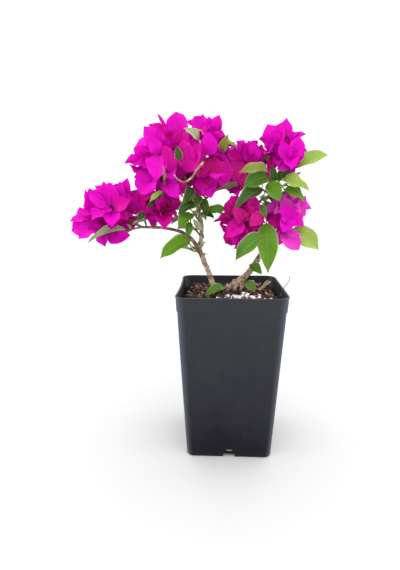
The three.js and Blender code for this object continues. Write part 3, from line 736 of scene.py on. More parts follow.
class Batch:
    """Many small shapes in one mesh. A face of a blade also has a place on the blade and an island."""

    ISLAND_MARGIN = 0.04

    def __init__(self, finishes=()):
        self.finishes = finishes
        self.points = []
        self.faces = []
        self.slots = []
        self.places = []
        self.islands = []
        self.size = 0
        self.island_count = 0

    def add(self, points, faces, slots=0, places=None):
        """slots holds each face's finish, or one for all. places holds each point's place on the blade."""
        points = np.asarray(points, float)
        self.points.append(points)
        start = self.size
        self.faces += [[start + i for i in face] for face in faces]
        slots = [slots] * len(faces) if isinstance(slots, int) else slots
        self.slots += slots
        if places is not None:
            sides = {slot: self.island_count + k for k, slot in enumerate(dict.fromkeys(slots))}
            self.islands += [sides[slot] for slot in slots]
            self.island_count += len(sides)
            self.places.append(places)
        self.size += len(points)

    def build(self, name, replaced, smooth_angle=50):
        """The piece with all shapes. It stands for the nodes that it replaces."""
        piece = new_object(name, np.concatenate(self.points), self.faces)
        mesh = piece.data
        mesh.polygons.foreach_set("material_index", self.slots)
        if self.places:
            self.lay_out(mesh)
        for finish in self.finishes:
            mesh.materials.append(finish)
        mesh.shade_smooth()
        mesh.set_sharp_from_angle(angle=math.radians(smooth_angle))
        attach(piece, BODY)
        if replaced:
            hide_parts(*replaced)
        return piece

    def lay_out(self, mesh):
        """Gives the mesh its places on the blades, and a grid of islands, one for each side of a blade."""
        places = np.concatenate(self.places)
        corners = np.concatenate([np.asarray(face) for face in self.faces])
        islands = np.repeat(self.islands, [len(face) for face in self.faces])
        mesh.uv_layers.new(name="Blade").data.foreach_set("uv", places[corners].ravel())
        across = math.ceil(math.sqrt(self.island_count))
        cells = np.stack([islands % across, islands // across], axis=1)
        inside = self.ISLAND_MARGIN + (1 - 2 * self.ISLAND_MARGIN) * places[corners]
        mesh.uv_layers.new(name="OFBake").data.foreach_set("uv", ((cells + inside) / across).ravel())


ASIDE = Vector((0.2, 1, 0.1))  # where the first corner of a tube looks, square to its way


def tube(places, radii, sides, swell=None):
    """Points and faces of a closed tube round places. swell(share, way out, place) scales its radius."""
    places = [Vector(p) for p in places]
    count = len(places)
    ways = [(places[min(i + 1, count - 1)] - places[max(i - 1, 0)]).normalized() for i in range(count)]
    across = square(ASIDE, ways[0])
    points = []
    for i, (place, way, radius) in enumerate(zip(places, ways, radii)):
        across = square(across, way)
        other = way.cross(across)
        for k in range(sides):
            angle = 2 * math.pi * k / sides
            out = across * math.cos(angle) + other * math.sin(angle)
            swollen = radius * (swell(i / (count - 1), out, place) if swell else 1)
            points.append(place + out * swollen)
    faces = []
    for i in range(count - 1):
        for k in range(sides):
            a, b = i * sides + k, i * sides + (k + 1) % sides
            faces.append((a, b, b + sides, a + sides))
    faces.append(tuple(reversed(range(sides))))
    faces.append(tuple(range((count - 1) * sides, count * sides)))
    return np.array(points), faces


FIRST_KNOT = (3, 8)
KNOTS_APART = (5, 10)
KNOT_HEIGHTS = (0.3, 0.75)  # shares of the radius
KNOT_LENGTH = 1.5
KNOT_COLLAR = 0.08
FURROWS = 0.55  # times the ridges' height


def bark_swell(name, relief, length):
    """How the bark swells the radius: long ridges, fine furrows, and a knot at each old leaf's place."""
    dice = random.Random(name)
    offset = Vector((dice.uniform(0, 99), dice.uniform(0, 99), 0))
    knots = []
    at = dice.uniform(*FIRST_KNOT)
    while at < length - 2:
        out = direction(GOLDEN_ANGLE * len(knots) + dice.uniform(-30, 30), 10)
        knots.append((at / length, out, dice.uniform(*KNOT_HEIGHTS)))
        at += dice.uniform(*KNOTS_APART)

    def swell(share, out, place):
        ridges = noise.noise(out * 1.7 + place * 0.11 + offset)
        furrows = noise.noise(out * 4 + place * 0.45 + offset)
        size = 1 + relief * (ridges + FURROWS * furrows)
        for at, way, height in knots:
            along = (share - at) * length / KNOT_LENGTH
            if abs(along) < 3:
                size += height * math.exp(-along * along) * max(0, out.dot(way)) ** 2
                size += KNOT_COLLAR * math.exp(-along * along * 2)
        return size

    return swell


def rod(points, thick, thin, steps, sides, bark=None):
    """A closed tube along a curve through points. bark holds the name and the relief of its bark."""
    route = Curve(points)
    places = [route.at(k / steps) for k in range(steps + 1)]
    swell = bark_swell(*bark, route.length) if bark else None
    return tube(places, np.linspace(thick, thin, steps + 1), sides, swell)


# ---------------------------------------------------------------- blades


@dataclass(frozen=True)
class Form:
    """How a kind of blade is shaped. Lengths are in millimetres, angles in degrees, the rest in shares."""

    width: float
    fullest: float
    rise: float  # how round the foot is: 1 is a point
    point: float  # how drawn out the tip is
    thickness: float
    crease: float
    arch: float
    cup: float
    wave: float
    waves: float
    twist: float
    rows: int
    columns: int


class Sheet:
    """The grid of a thin closed blade: each point's place along and across, and the faces of both sides."""

    def __init__(self, rows, columns):
        self.along = [0.0, 1.0]
        self.across = [0.0, 0.0]
        self.under = [0.0, 0.0]
        index = {}
        for lower in (False, True):
            for i in range(1, rows):
                for j in range(columns + 1):
                    if lower and j in (0, columns):
                        index[lower, i, j] = index[False, i, j]
                        continue
                    index[lower, i, j] = len(self.along)
                    self.along.append(i / rows)
                    self.across.append(2 * j / columns - 1)
                    self.under.append(float(lower))
        self.faces = []
        self.sides = []
        for lower in (False, True):
            made = []
            for j in range(columns):
                made.append((0, index[lower, 1, j + 1], index[lower, 1, j]))
                made.append((1, index[lower, rows - 1, j], index[lower, rows - 1, j + 1]))
                for i in range(1, rows - 1):
                    a, b = index[lower, i, j], index[lower, i + 1, j]
                    c, d = index[lower, i + 1, j + 1], index[lower, i, j + 1]
                    made.append((a, d, c, b))
            self.faces += [face[::-1] for face in made] if lower else made
            self.sides += [int(lower)] * len(made)
        self.along = np.array(self.along)
        self.across = np.array(self.across)
        self.under = np.array(self.under)
        self.places = np.stack([self.along, (self.across + 1) / 2], axis=1)


@lru_cache(maxsize=None)
def sheet(rows, columns):
    """The grid of that many rows and columns, which all its blades share."""
    return Sheet(rows, columns)


@dataclass
class Blade:
    """A leaf or bract: where it starts, which way it points and looks, and its length."""

    foot: Vector
    along: Vector
    face: Vector
    length: float
    form: Form
    tone: str = ""
    seed: int = 0


TIP = 0.22  # share of the length over which the tip is drawn out
SOFT_FOLD = 0.02  # how rounded the fold along the midrib is
PHASES = (0, 6.3)  # the waves start anywhere in a full turn
ARCHES = (0.7, 1.3)  # times the usual arch


def outline(share, form):
    """How wide a blade is at a share of its length, as a share of its greatest width."""
    fall = form.rise * (1 - form.fullest) / form.fullest
    width = share**form.rise * (1 - share) ** fall
    peak = form.fullest**form.rise * (1 - form.fullest) ** fall
    drawn = np.clip((share - (1 - TIP)) / TIP, 0, 1)
    return width / peak * (1 - form.point * drawn * drawn * (3 - 2 * drawn))


def blade_points(blade, grid):
    """The points of a blade on a grid: arched along its length, creased, cupped, waved and twisted."""
    form = blade.form
    dice = random.Random(blade.seed)
    u, v = grid.along, grid.across
    foot, along, face = (np.array(x) for x in (blade.foot, blade.along, blade.face))
    side = np.cross(along, face)
    turn = math.radians(form.arch) * dice.uniform(*ARCHES)
    sine, cosine = np.sin(turn * u), np.cos(turn * u)
    up = np.outer(cosine, face) + np.outer(sine, along)
    ridge = foot + blade.length * (np.outer(sine, along) - np.outer(1 - cosine, face)) / turn
    half = blade.length * form.width / 2 * outline(u, form)
    crease = math.radians(form.crease)
    soft = math.sqrt(SOFT_FOLD)
    folded = (np.sqrt(v**2 + SOFT_FOLD) - soft) / (math.sqrt(1 + SOFT_FOLD) - soft)
    phases = np.where(v < 0, dice.uniform(*PHASES), dice.uniform(*PHASES))
    ripple = np.sin(2 * math.pi * form.waves * u + phases) * np.abs(v) ** 2.5
    broad = math.sin(dice.uniform(*PHASES)) * np.sin(math.pi * u) * v
    lift = half * (
        math.sin(crease) * folded + form.cup * v**2 + form.wave * ripple + 0.5 * form.wave * broad
    )
    spread = half * v * math.cos(crease) * (1 - 0.2 * form.cup * v**2)
    twist = math.radians(form.twist) * dice.uniform(-1, 1) * u
    sideways = side * np.cos(twist)[:, None] + up * np.sin(twist)[:, None]
    upward = up * np.cos(twist)[:, None] - side * np.sin(twist)[:, None]
    surface = ridge + sideways * spread[:, None] + upward * lift[:, None]
    depth = form.thickness * np.sqrt(np.clip(1 - v**2, 0, 1)) * grid.under
    return surface - upward * depth[:, None]


def bract_form(width, thickness):
    """A bract: broad, nearly round at its foot, cupped and wavy."""
    return Form(
        width=width,
        fullest=0.42,
        rise=0.6,
        point=0.4,
        thickness=thickness,
        crease=17,
        arch=26,
        cup=0.22,
        wave=0.22,
        waves=2.4,
        twist=14,
        rows=9,
        columns=8,
    )


def leaf_form(width, thickness):
    """A leaf: narrower, drawn out to a tip, and arched."""
    return Form(
        width=width,
        fullest=0.38,
        rise=0.75,
        point=0.45,
        thickness=thickness,
        crease=20,
        arch=46,
        cup=0.05,
        wave=0.2,
        waves=1.7,
        twist=18,
        rows=12,
        columns=8,
    )


# ---------------------------------------------------------------- growth


@dataclass
class Twig:
    """A thin shoot through places, with its radius at either end."""

    places: list
    thick: float
    thin: float


class Growth:
    """Everything that grows on the limbs: blades and twigs by mass, and what a new bract has to miss."""

    COARSE = (5, 4)
    NEAR = 34  # only what is this close to a blade is tested

    def __init__(self, bract, leaf, bract_length, bract_fill, leaf_fill):
        self.bract = bract
        self.leaf = leaf
        self.bract_length = bract_length
        self.bract_fill = bract_fill
        self.leaf_fill = leaf_fill
        self.limbs = {}
        self.blades = {}
        self.twigs = {}
        self.flowers = {}
        self.taken = []
        for name, plan in LIMBS.items():
            self.limbs[name] = Curve([self.root(plan), *plan.points] if plan.limb else plan.points)
            places = self.limbs[name].places[::4]
            self.taken.append(self.room(*tube(places, [plan.radii[0]] * len(places), 6)))
        for name, plan in SPRAYS.items():
            self.grow_spray(name, plan)
        for name, plan in BLOSSOMS.items():
            self.grow_blossom(name, plan)

    def root(self, plan):
        """Where a bough, a spray or a mass starts."""
        return self.limbs[plan.limb].at(plan.share)

    @staticmethod
    def room(points, faces):
        """A shape's middle, and its surface for the crossing tests."""
        return Vector(points.mean(axis=0)), BVHTree.FromPolygons(points.tolist(), faces)

    def coarse(self, blade):
        """The room of a blade, from a coarse grid of its upper side."""
        grid = sheet(*self.COARSE)
        faces = [face for face, side in zip(grid.faces, grid.sides) if not side]
        return self.room(blade_points(blade, grid), faces)

    def crossed(self, room, others):
        """How many of the others cross a shape."""
        middle, shape = room
        near = [other for other in others if (other[0] - middle).length < self.NEAR]
        return sum(1 for _, other in near if shape.overlap(other))

    def arched(self, plan, kind, seed):
        """A blade that arches over the straight line from its foot to its tip."""
        foot, tip = Vector(plan.foot), Vector(plan.tip)
        chord = (tip - foot).normalized()
        over = square(direction(*plan.face), chord)
        lift = math.radians(kind.arch / 2)
        along = chord * math.cos(lift) + over * math.sin(lift)
        form = replace(kind, width=kind.width * plan.width, crease=kind.crease * plan.crease)
        return Blade(foot, along, square(over, along), (tip - foot).length, form, plan.tone, seed)

    def add_leaf(self, name, petiole, plan, seed):
        """A leaf whose petiole starts at its own place on the spray's twig."""
        blade = self.arched(plan, self.leaf, seed)
        self.blades[name].append(blade)
        self.taken.append(self.coarse(blade))
        end = blade.foot + blade.along * PETIOLE_TUCK
        self.twigs[name].append(Twig(bow(petiole, end, rise=-0.08, steps=4), *PETIOLE))

    def add_sprayed_leaf(self, name, petiole, plan, seed):
        """A leaf of the plan's rule, which goes its own way from a place on the twig."""
        chord = direction(plan.heading, plan.slope) * plan.length
        shown = ShownLeaf(petiole + chord * PETIOLE_SHARE, petiole + chord, plan.tone, face=plan.face)
        self.add_leaf(name, petiole, shown, seed)

    def grow_spray(self, name, plan):
        """The spray's twig, its leaves of the crown's face, the plan's leaves, and a few small ones."""
        root, tip = self.root(plan), Vector(plan.tip)
        twig = Twig(bow(root, tip, rise=0.1, steps=6), *SPRAY_TWIG)
        self.blades[name] = []
        self.twigs[name] = [twig]
        for leaf in FACE_LEAVES.get(name, []):
            foot = Vector(leaf.foot)
            petiole = min(twig.places, key=lambda place: (place - foot).length)
            self.add_leaf(name, petiole, leaf, len(self.taken))
        for leaf in plan.leaves:
            self.add_sprayed_leaf(name, root.lerp(tip, leaf.share), leaf, len(self.taken))
        dice = random.Random(name)
        for _ in range(0 if plan.bare else self.leaf_fill):
            heading, slope = dice.uniform(0, 360), dice.uniform(-10, 60)
            tone = dice.choice(SMALL_LEAF_TONES)
            face = (heading + 180, 90 - slope)
            small = Leaf(dice.uniform(0.3, 1), heading, slope, dice.uniform(7, 12), tone, face)
            self.add_sprayed_leaf(name, root.lerp(tip, small.share), small, dice.randrange(9999))

    def triplet(self, heart, axis, spin, opening, length, tone, seed):
        """Three bracts round the end of one stalk, held as an open bell round axis."""
        tilt = math.radians(opening)
        made = []
        for third, radial in enumerate(thirds(axis, spin)):
            along = axis * math.cos(tilt) + radial * math.sin(tilt)
            inward = axis * math.sin(tilt) - radial * math.cos(tilt)
            face = Quaternion(along, math.radians(BELL_ROLL)) @ inward
            foot = heart + radial * BELL_STAND
            made.append(Blade(foot, along, face, length, self.bract, tone, seed + third))
        return made

    def tried_triplet(self, plan, number, rim, fine, draw):
        """One try at the triplet below a place on its mass's rim: its heart, axis, spin and bracts."""
        length = self.bract_length * plan.size * (SIZES[0] + SIZES[1] * draw())
        length *= FINE_SIZE if fine else 1
        opening = BELL_OPEN[0] + BELL_OPEN[1] * draw()
        spin = 120 * draw()
        out = rim.normalized()
        sunk = length * (DEPTHS[0] + DEPTHS[1] * draw()) * (FINE_DEPTH if fine else 1)
        heart = Vector(plan.centre) + out * max(rim.length - sunk, BELL_APART)
        axis = (out + UP * SKYWARD).normalized()
        # Every third triplet takes the deep tone, a darker copy of the magenta that is painted shade and
        # partly a real change of tone.
        tone = "deep" if number % 3 == 1 else plan.tone
        seed = 100 * plan.seed + 3 * number
        return heart, axis, spin, self.triplet(heart, axis, spin, opening, length, tone, seed)

    def grow_blossom(self, name, plan):
        """The plan's triplets round an ellipsoid, then finer ones that fill what is left between them."""
        root, middle = self.root(plan), Vector(plan.centre)
        turn = UP.rotation_difference((middle - root).normalized())
        phase = 360 * stream(plan.seed)()
        first = plan.count
        finer = round(first * self.bract_fill)
        self.blades[name] = []
        self.flowers[name] = []
        self.twigs[name] = [Twig(bow(root, middle, rise=0.1, steps=8), *MASS_STALK)]
        shown = [self.add_face_bract(name, k, face) for k, face in enumerate(FACE_BRACTS.get(name, []))]
        bracts = []
        for i in range(first + finer):
            fine = i >= first
            order = (i - first + 0.5) / finer if fine else (i + 0.5) / first
            slope = math.degrees(math.asin(1 - 2 * COVER * order))
            rim = turn @ direction(phase + GOLDEN_ANGLE * i + 60 * fine, slope)
            rim = Vector([a * b for a, b in zip(rim, plan.reach)])
            crossings = FINE_CROSSINGS if fine else CROSSINGS
            draw = stream(1000 * plan.seed + i)
            for _ in range(TRIES):
                heart, axis, spin, made = self.tried_triplet(plan, i, rim, fine, draw)
                rooms = [self.coarse(blade) for blade in made]
                good = [
                    k
                    for k, room in enumerate(rooms)
                    if self.crossed(room, bracts) <= crossings
                    and not self.crossed(room, self.taken)
                    and self.crossed(room, shown) <= SHOWN_CROSSINGS
                ]
                if len(good) > 1:
                    bracts += [rooms[k] for k in good]
                    self.blades[name] += [made[k] for k in good]
                    foot, end = root.lerp(middle, 1 - STALK_REACH * order), heart + axis
                    self.twigs[name].append(Twig(bow(foot, end, rise=0.05, steps=4), *TRIPLET_STALK))
                    self.flowers[name].append((end, axis, spin + 60, made[0].length))
                    break
        self.taken += bracts + shown

    def add_face_bract(self, name, number, plan):
        """A bract of the crown's face. Its room is given back, for the seeded bracts to miss."""
        blade = self.arched(plan, self.bract, 7 * number)
        self.blades[name].append(blade)
        return self.coarse(blade)


@lru_cache(maxsize=None)
def grown(*shape):
    """The growth of these forms, lengths and counts, which is worked out once."""
    return Growth(*shape)


def growth(context):
    """The plant as its settings have it. It is grown once, and each operator takes its share."""
    settings = context.scene.bougainvillea
    bract = bract_form(settings.bract.width, settings.bract.thickness / MM)
    leaf = leaf_form(settings.leaf.width, settings.leaf.thickness / MM)
    return grown(bract, leaf, settings.bract.length / MM, settings.bract.fill, settings.leaf.fill)


# ---------------------------------------------------------------- shader nodes

NUMBER = "NodeSocketFloat"
COLOUR = "NodeSocketColor"
PLACE = "NodeSocketVector"


class Wiring:
    """Adds nodes to a material's or a group's tree and joins them."""

    MIX_SHARE, MIX_LOW, MIX_HIGH = 0, 6, 7
    MIX_COLOUR = 2

    def __init__(self, tree):
        self.tree = tree

    def add(self, kind, settings=None, **sockets):
        """A node. Each socket takes a value or another node's output."""
        made = self.tree.nodes.new(kind)
        for name, value in (settings or {}).items():
            setattr(made, name, value)
        for name, value in sockets.items():
            self.feed(made.inputs[name.replace("_", " ")], value)
        return made

    def feed(self, socket, value):
        """Joins a socket to another node's output, or sets its value."""
        if isinstance(value, bpy.types.NodeSocket):
            self.tree.links.new(value, socket)
        else:
            socket.default_value = value

    def math(self, operation, *values):
        """The result of an operation on one or two numbers, which may be outputs."""
        made = self.add("ShaderNodeMath", {"operation": operation})
        for socket, value in zip(made.inputs, values):
            self.feed(socket, value)
        return made.outputs[0]

    def plus(self, first, second):
        return self.math("ADD", first, second)

    def less(self, first, second):
        return self.math("SUBTRACT", first, second)

    def times(self, first, second):
        return self.math("MULTIPLY", first, second)

    def mix(self, share, low, high):
        """A colour that is low at 0 and high at 1. The node's sockets for colours go by number."""
        made = self.add("ShaderNodeMix", {"data_type": "RGBA"})
        self.feed(made.inputs[self.MIX_SHARE], share)
        for socket, colour in ((self.MIX_LOW, low), (self.MIX_HIGH, high)):
            joined = isinstance(colour, bpy.types.NodeSocket)
            self.feed(made.inputs[socket], colour if joined else (*colour, 1))
        return made.outputs[self.MIX_COLOUR]

    def ramp(self, value, low, high, start=0.0, end=1.0):
        """value from low..high, clamped and mapped to start..end."""
        made = self.add("ShaderNodeMapRange", {"clamp": True}, Value=value)
        for name, number in zip(("From Min", "From Max", "To Min", "To Max"), (low, high, start, end)):
            made.inputs[name].default_value = number
        return made.outputs[0]

    def group(self, tree, **sockets):
        """A group's outputs."""
        return self.add("ShaderNodeGroup", {"node_tree": tree}, **sockets).outputs

    def place(self):
        """The place on the object, in metres."""
        return self.add("ShaderNodeTexCoord").outputs["Object"]

    def blade_place(self):
        """The place along and across a blade."""
        return self.add("ShaderNodeUVMap", {"uv_map": "Blade"}).outputs[0]

    def parts(self, vector):
        """A vector's X, Y and Z."""
        return self.add("ShaderNodeSeparateXYZ", Vector=vector).outputs

    def cloud(self, place, scale, detail, **sockets):
        """Soft noise from 0 to 1."""
        made = self.add("ShaderNodeTexNoise", Vector=place, Scale=scale, Detail=detail, **sockets)
        return made.outputs[0]


def new_group(name, inputs, outputs):
    """An empty group and its wiring. Each input has its kind, or the default of a number."""
    tree = bpy.data.node_groups.new(name, "ShaderNodeTree")
    for label, kind in inputs.items():
        numeric = isinstance(kind, float)
        socket = tree.interface.new_socket(label, in_out="INPUT", socket_type=NUMBER if numeric else kind)
        if numeric:
            socket.default_value = kind
    for label, kind in outputs.items():
        tree.interface.new_socket(label, in_out="OUTPUT", socket_type=kind)
    wires = Wiring(tree)
    source = wires.add("NodeGroupInput")
    sink = wires.add("NodeGroupOutput")
    return tree, wires, source.outputs, sink.inputs


@lru_cache(maxsize=None)
def venation():
    """Midrib, side veins and margin of a blade, as masks."""
    tree, wires, given, wanted = new_group(
        "Venation",
        {"Place": PLACE, "Pairs": 7.0, "Sweep": 0.35, "Margin Width": 0.07},
        {"Midrib": NUMBER, "Veins": NUMBER, "Margin": NUMBER},
    )
    parts = wires.parts(given["Place"])
    across = wires.math("ABSOLUTE", wires.less(wires.times(parts["Y"], 2.0), 1.0))
    wobble = wires.add("ShaderNodeTexNoise", {"noise_dimensions": "2D"}, Vector=given["Place"], Scale=9.0)
    bent = wires.times(wires.less(wobble.outputs[0], 0.5), 0.05)
    swept = wires.times(wires.math("POWER", across, 1.2), given["Sweep"])
    run = wires.plus(wires.less(parts["X"], swept), bent)
    cycle = wires.math("FRACT", wires.times(run, given["Pairs"]))
    off = wires.math("ABSOLUTE", wires.less(cycle, 0.5))
    wires.feed(wanted["Veins"], wires.ramp(off, 0.02, 0.16, 1.0, 0.0))
    wires.feed(wanted["Midrib"], wires.ramp(across, 0.015, 0.09, 1.0, 0.0))
    inside = wires.less(1.0, given["Margin Width"])
    wires.feed(wanted["Margin"], wires.math("GREATER_THAN", across, inside))
    return tree


@lru_cache(maxsize=None)
def mottle():
    """Slow changes of a colour over the plant, darker and lighter."""
    tree, wires, given, wanted = new_group(
        "Mottle",
        {"Colour": COLOUR, "Size": 60.0, "Amount": 0.2},
        {"Colour": COLOUR, "Mask": NUMBER},
    )
    cloud = wires.cloud(wires.place(), given["Size"], 3.0)
    spread = wires.times(wires.less(cloud, 0.5), given["Amount"])
    bright = wires.plus(wires.times(spread, 4.0), 1.0)
    shifted = wires.add("ShaderNodeHueSaturation", Color=given["Colour"], Value=bright)
    wires.feed(wanted["Colour"], shifted.outputs[0])
    wires.feed(wanted["Mask"], cloud)
    return tree


@lru_cache(maxsize=None)
def grain():
    """Fine and coarse unevenness of a surface, as a height."""
    tree, wires, given, wanted = new_group(
        "Grain",
        {"Fine": 1500.0, "Coarse": 200.0, "Stretch": 1.0},
        {"Height": NUMBER},
    )
    shape = wires.add("ShaderNodeCombineXYZ", X=1.0, Y=1.0, Z=given["Stretch"])
    drawn = wires.add("ShaderNodeVectorMath", {"operation": "MULTIPLY"})
    wires.feed(drawn.inputs[0], wires.place())
    wires.feed(drawn.inputs[1], shape.outputs[0])
    small = wires.cloud(drawn.outputs[0], given["Fine"], 2.0)
    large = wires.cloud(drawn.outputs[0], given["Coarse"], 4.0)
    wires.feed(wanted["Height"], wires.plus(wires.times(small, 0.3), large))
    return tree


def new_finish(name, roughness, **sockets):
    """A material, its wiring and its Principled shader."""
    made = bpy.data.materials.new(name)
    made.use_nodes = True
    shader = made.node_tree.nodes["Principled BSDF"]
    shader.inputs["Roughness"].default_value = roughness
    for label, value in sockets.items():
        shader.inputs[label.replace("_", " ")].default_value = value
    return made, Wiring(made.node_tree), shader.inputs


def bump(wires, shader, height, strength, distance):
    """Gives a shader the relief of a height. distance is in metres."""
    made = wires.add("ShaderNodeBump", Height=height, Strength=strength, Distance=distance)
    wires.feed(shader["Normal"], made.outputs[0])


def shade(colour, share):
    """A colour made darker, or lighter above 1."""
    return [min(1.0, c * share) for c in colour]


def blend(first, second, share):
    """A colour at a share of the way from the first to the second."""
    return [a + (b - a) * share for a, b in zip(first, second)]


def bract_finish(name, colour, veins, share):
    """A papery bract: a net of veins, a foot darkened as painted shade where the bracts of a triplet meet,
    and a soft sheen.
    """
    made, wires, shader = new_finish(
        name,
        0.62,
        Specular_IOR_Level=0.13,
        Subsurface_Weight=0.25,
        Subsurface_Scale=0.0015,
        Subsurface_Radius=(1.0, 0.15, 0.8),
    )
    place = wires.blade_place()
    masks = wires.group(venation(), Place=place, Pairs=6.0, Sweep=0.3, Margin_Width=0.03)
    # Painted shade: the bract darkens towards its foot, where the three bracts of a triplet meet.
    foot = wires.ramp(wires.parts(place)["X"], 0.0, 0.35, 0.55, 0.0)
    shaded_base = wires.mix(foot, colour, shade(colour, 0.45))
    lines = wires.times(wires.math("MAXIMUM", masks["Midrib"], masks["Veins"]), share)
    veined = wires.mix(lines, shaded_base, veins)
    mottled = wires.group(mottle(), Colour=veined, Size=90.0, Amount=0.09)
    wires.feed(shader["Base Color"], mottled["Colour"])
    ribs = wires.plus(wires.times(masks["Midrib"], 1.2), masks["Veins"])
    crinkles = wires.times(wires.cloud(wires.place(), 240.0, 3.0), 2.0)
    bump(wires, shader, wires.plus(ribs, crinkles), strength=0.5, distance=0.0004)
    return made


def leaf_finish(name, colour, veins, margin, roughness, raised):
    """A leaf: paler midrib and side veins, a thin tinted margin, and a sheet that rises between them."""
    made, wires, shader = new_finish(
        name,
        roughness,
        Specular_IOR_Level=0.22,
        Subsurface_Weight=0.15,
        Subsurface_Scale=0.001,
        Subsurface_Radius=(0.5, 1.0, 0.1),
    )
    masks = wires.group(venation(), Place=wires.blade_place(), Pairs=8.0, Sweep=0.28, Margin_Width=0.07)
    lines = wires.math("MAXIMUM", masks["Midrib"], wires.times(masks["Veins"], 0.35))
    veined = wires.mix(wires.times(lines, 0.45), colour, veins)
    mottled = wires.group(mottle(), Colour=veined, Size=70.0, Amount=0.14)
    edged = wires.mix(wires.times(masks["Margin"], 0.75), mottled["Colour"], margin)
    wires.feed(shader["Base Color"], edged)
    relief = wires.plus(wires.times(masks["Midrib"], 1.6), masks["Veins"])
    bump(wires, shader, wires.times(relief, raised), strength=0.6, distance=0.0004)
    return made


@lru_cache(maxsize=None)
def leaf_finishes():
    """The upper and under side of each tone of leaf, in the order of the tones."""
    under, margin, veins = paint("8ea071"), paint("c2ab8c"), paint("cfe08f")
    made = []
    for tone, code in LEAF_TONES.items():
        colour = paint(code)
        lower = blend(colour, under, 0.55)
        upper_veins = blend(colour, veins, 0.4)
        made.append(leaf_finish(f"leaf_{tone}", colour, upper_veins, margin, 0.42, -1.0))
        made.append(leaf_finish(f"leaf_{tone}_under", lower, shade(lower, 1.35), margin, 0.65, 1.0))
    return made


@lru_cache(maxsize=None)
def bract_finishes():
    """The inner and outer side of each tone of bract, in the order of the tones."""
    bleached = paint("f27ccf")
    made = []
    for tone, code in BRACT_TONES.items():
        colour = paint(code)
        veins = blend(colour, bleached, 0.2) if tone in PALE_VEINED else shade(colour, 0.72)
        made.append(bract_finish(f"bract_{tone}", colour, veins, 0.3))
        made.append(bract_finish(f"bract_{tone}_outer", shade(colour, 0.96), shade(colour, 0.62), 0.4))
    return made


def bark_finish(name, colour, dark, pale):
    """Bark: brown furrows, paler corky ridges, small pores, and a foot that is darker near the mix."""
    made, wires, shader = new_finish(name, 0.85, Specular_IOR_Level=0.25)
    place = wires.place()
    cloud = wires.cloud(place, 260.0, 6.0, Roughness=0.65)
    dots = wires.add("ShaderNodeTexVoronoi", Vector=place, Scale=700.0).outputs["Distance"]
    ridged = wires.mix(wires.ramp(cloud, 0.42, 0.57), dark, colour)
    capped = wires.mix(wires.ramp(cloud, 0.55, 0.68, 0.0, 0.85), ridged, pale)
    pored = wires.mix(wires.ramp(dots, 0.0, 0.22, 0.5, 0.0), capped, dark)
    # Darker towards the foot, near the mix.
    foot = wires.ramp(wires.parts(place)["Z"], *DARK_FOOT_HEIGHTS, 0.65, 0.0)
    wires.feed(shader["Base Color"], wires.mix(foot, pored, paint("33211a")))
    height = wires.group(grain(), Fine=2200.0, Coarse=500.0, Stretch=0.35)["Height"]
    bump(wires, shader, height, strength=0.7, distance=0.0006)
    return made


@lru_cache(maxsize=None)
def wood_finishes(old, young):
    """The finishes of old bark, of a brown bough and of green wood, by name."""
    brown = blend(old, paint("6b2f22"), 0.62)
    kinds = {
        "bark": (old, "e0c8ac", 0.34),
        "brown_wood": (brown, "cfa58c", 0.42),
        "green_wood": (young, "b9b878", 0.5),
    }
    return {
        name: bark_finish(name, list(colour), shade(colour, dark), blend(colour, paint(pale), 0.5))
        for name, (colour, pale, dark) in kinds.items()
    }


def plant_woods(context):
    """The wood finishes, in the colours of the settings."""
    settings = context.scene.bougainvillea.bark
    return wood_finishes(tuple(settings.old), tuple(settings.young))


LIGHTER_GREY_LEVELS = (0.02, 0.055, 0.16)  # where the grey over the plastic starts, thickens and is full, so the wall is lighter towards the rim, in metres
CORNER_HIGHLIGHT_EDGE = (0.0345, 0.042)  # where the painted highlight of a rounded corner starts at the foot, and its slope up the wall


def plastic_finish(colour, dust):
    """Moulded plastic: satin, a grey that thickens towards the rim, dust flecks, faint scuffs, a purple
    tint that is painted reflection, and a bluish painted highlight on the rounded corners and along the
    lip.
    """
    made, wires, shader = new_finish("pot_plastic", 0.36, Specular_IOR_Level=0.22)
    place = wires.place()
    parts = wires.parts(place)
    # The grey thickens with height, so the wall is lighter towards the rim.
    uneven = wires.plus(parts["Z"], wires.times(wires.less(wires.cloud(place, 22.0, 5.0), 0.5), 0.07))
    low = wires.ramp(uneven, *LIGHTER_GREY_LEVELS[:2], 0.0, 0.36)
    high = wires.ramp(uneven, *LIGHTER_GREY_LEVELS[1:], 0.0, 0.42)
    flecks = wires.ramp(wires.cloud(place, 650.0, 2.0), 0.72, 0.78, 0.0, 0.5)
    streaks = wires.ramp(wires.cloud(place, 130.0, 3.0), 0.3, 0.7, -0.05, 0.06)
    share = wires.plus(wires.plus(wires.plus(low, high), flecks), streaks)
    dusted = wires.mix(share, colour, dust)
    # Painted highlight: the rounded corners and the lip are lightened to a bluish grey, where the soft
    # lights would be reflected.
    nearer = wires.math("MINIMUM", wires.math("ABSOLUTE", parts["X"]), wires.math("ABSOLUTE", parts["Y"]))
    edge = wires.plus(wires.times(parts["Z"], CORNER_HIGHLIGHT_EDGE[1]), CORNER_HIGHLIGHT_EDGE[0])
    corner = wires.ramp(wires.less(nearer, edge), 0.0, 0.0055, 0.0, 0.7)
    lip_highlight = wires.ramp(parts["Z"], (POT_HEIGHT - LIP) * MM, POT_HEIGHT * MM, 0.0, 0.35)
    highlighted = wires.mix(wires.math("MAXIMUM", corner, lip_highlight), dusted, paint("3d4556"))
    wires.feed(shader["Base Color"], highlighted)
    wires.feed(shader["Roughness"], wires.plus(wires.times(share, 0.16), 0.3))
    height = wires.group(grain(), Fine=1400.0, Coarse=40.0, Stretch=1.0)["Height"]
    bump(wires, shader, height, strength=0.12, distance=0.001)
    return made


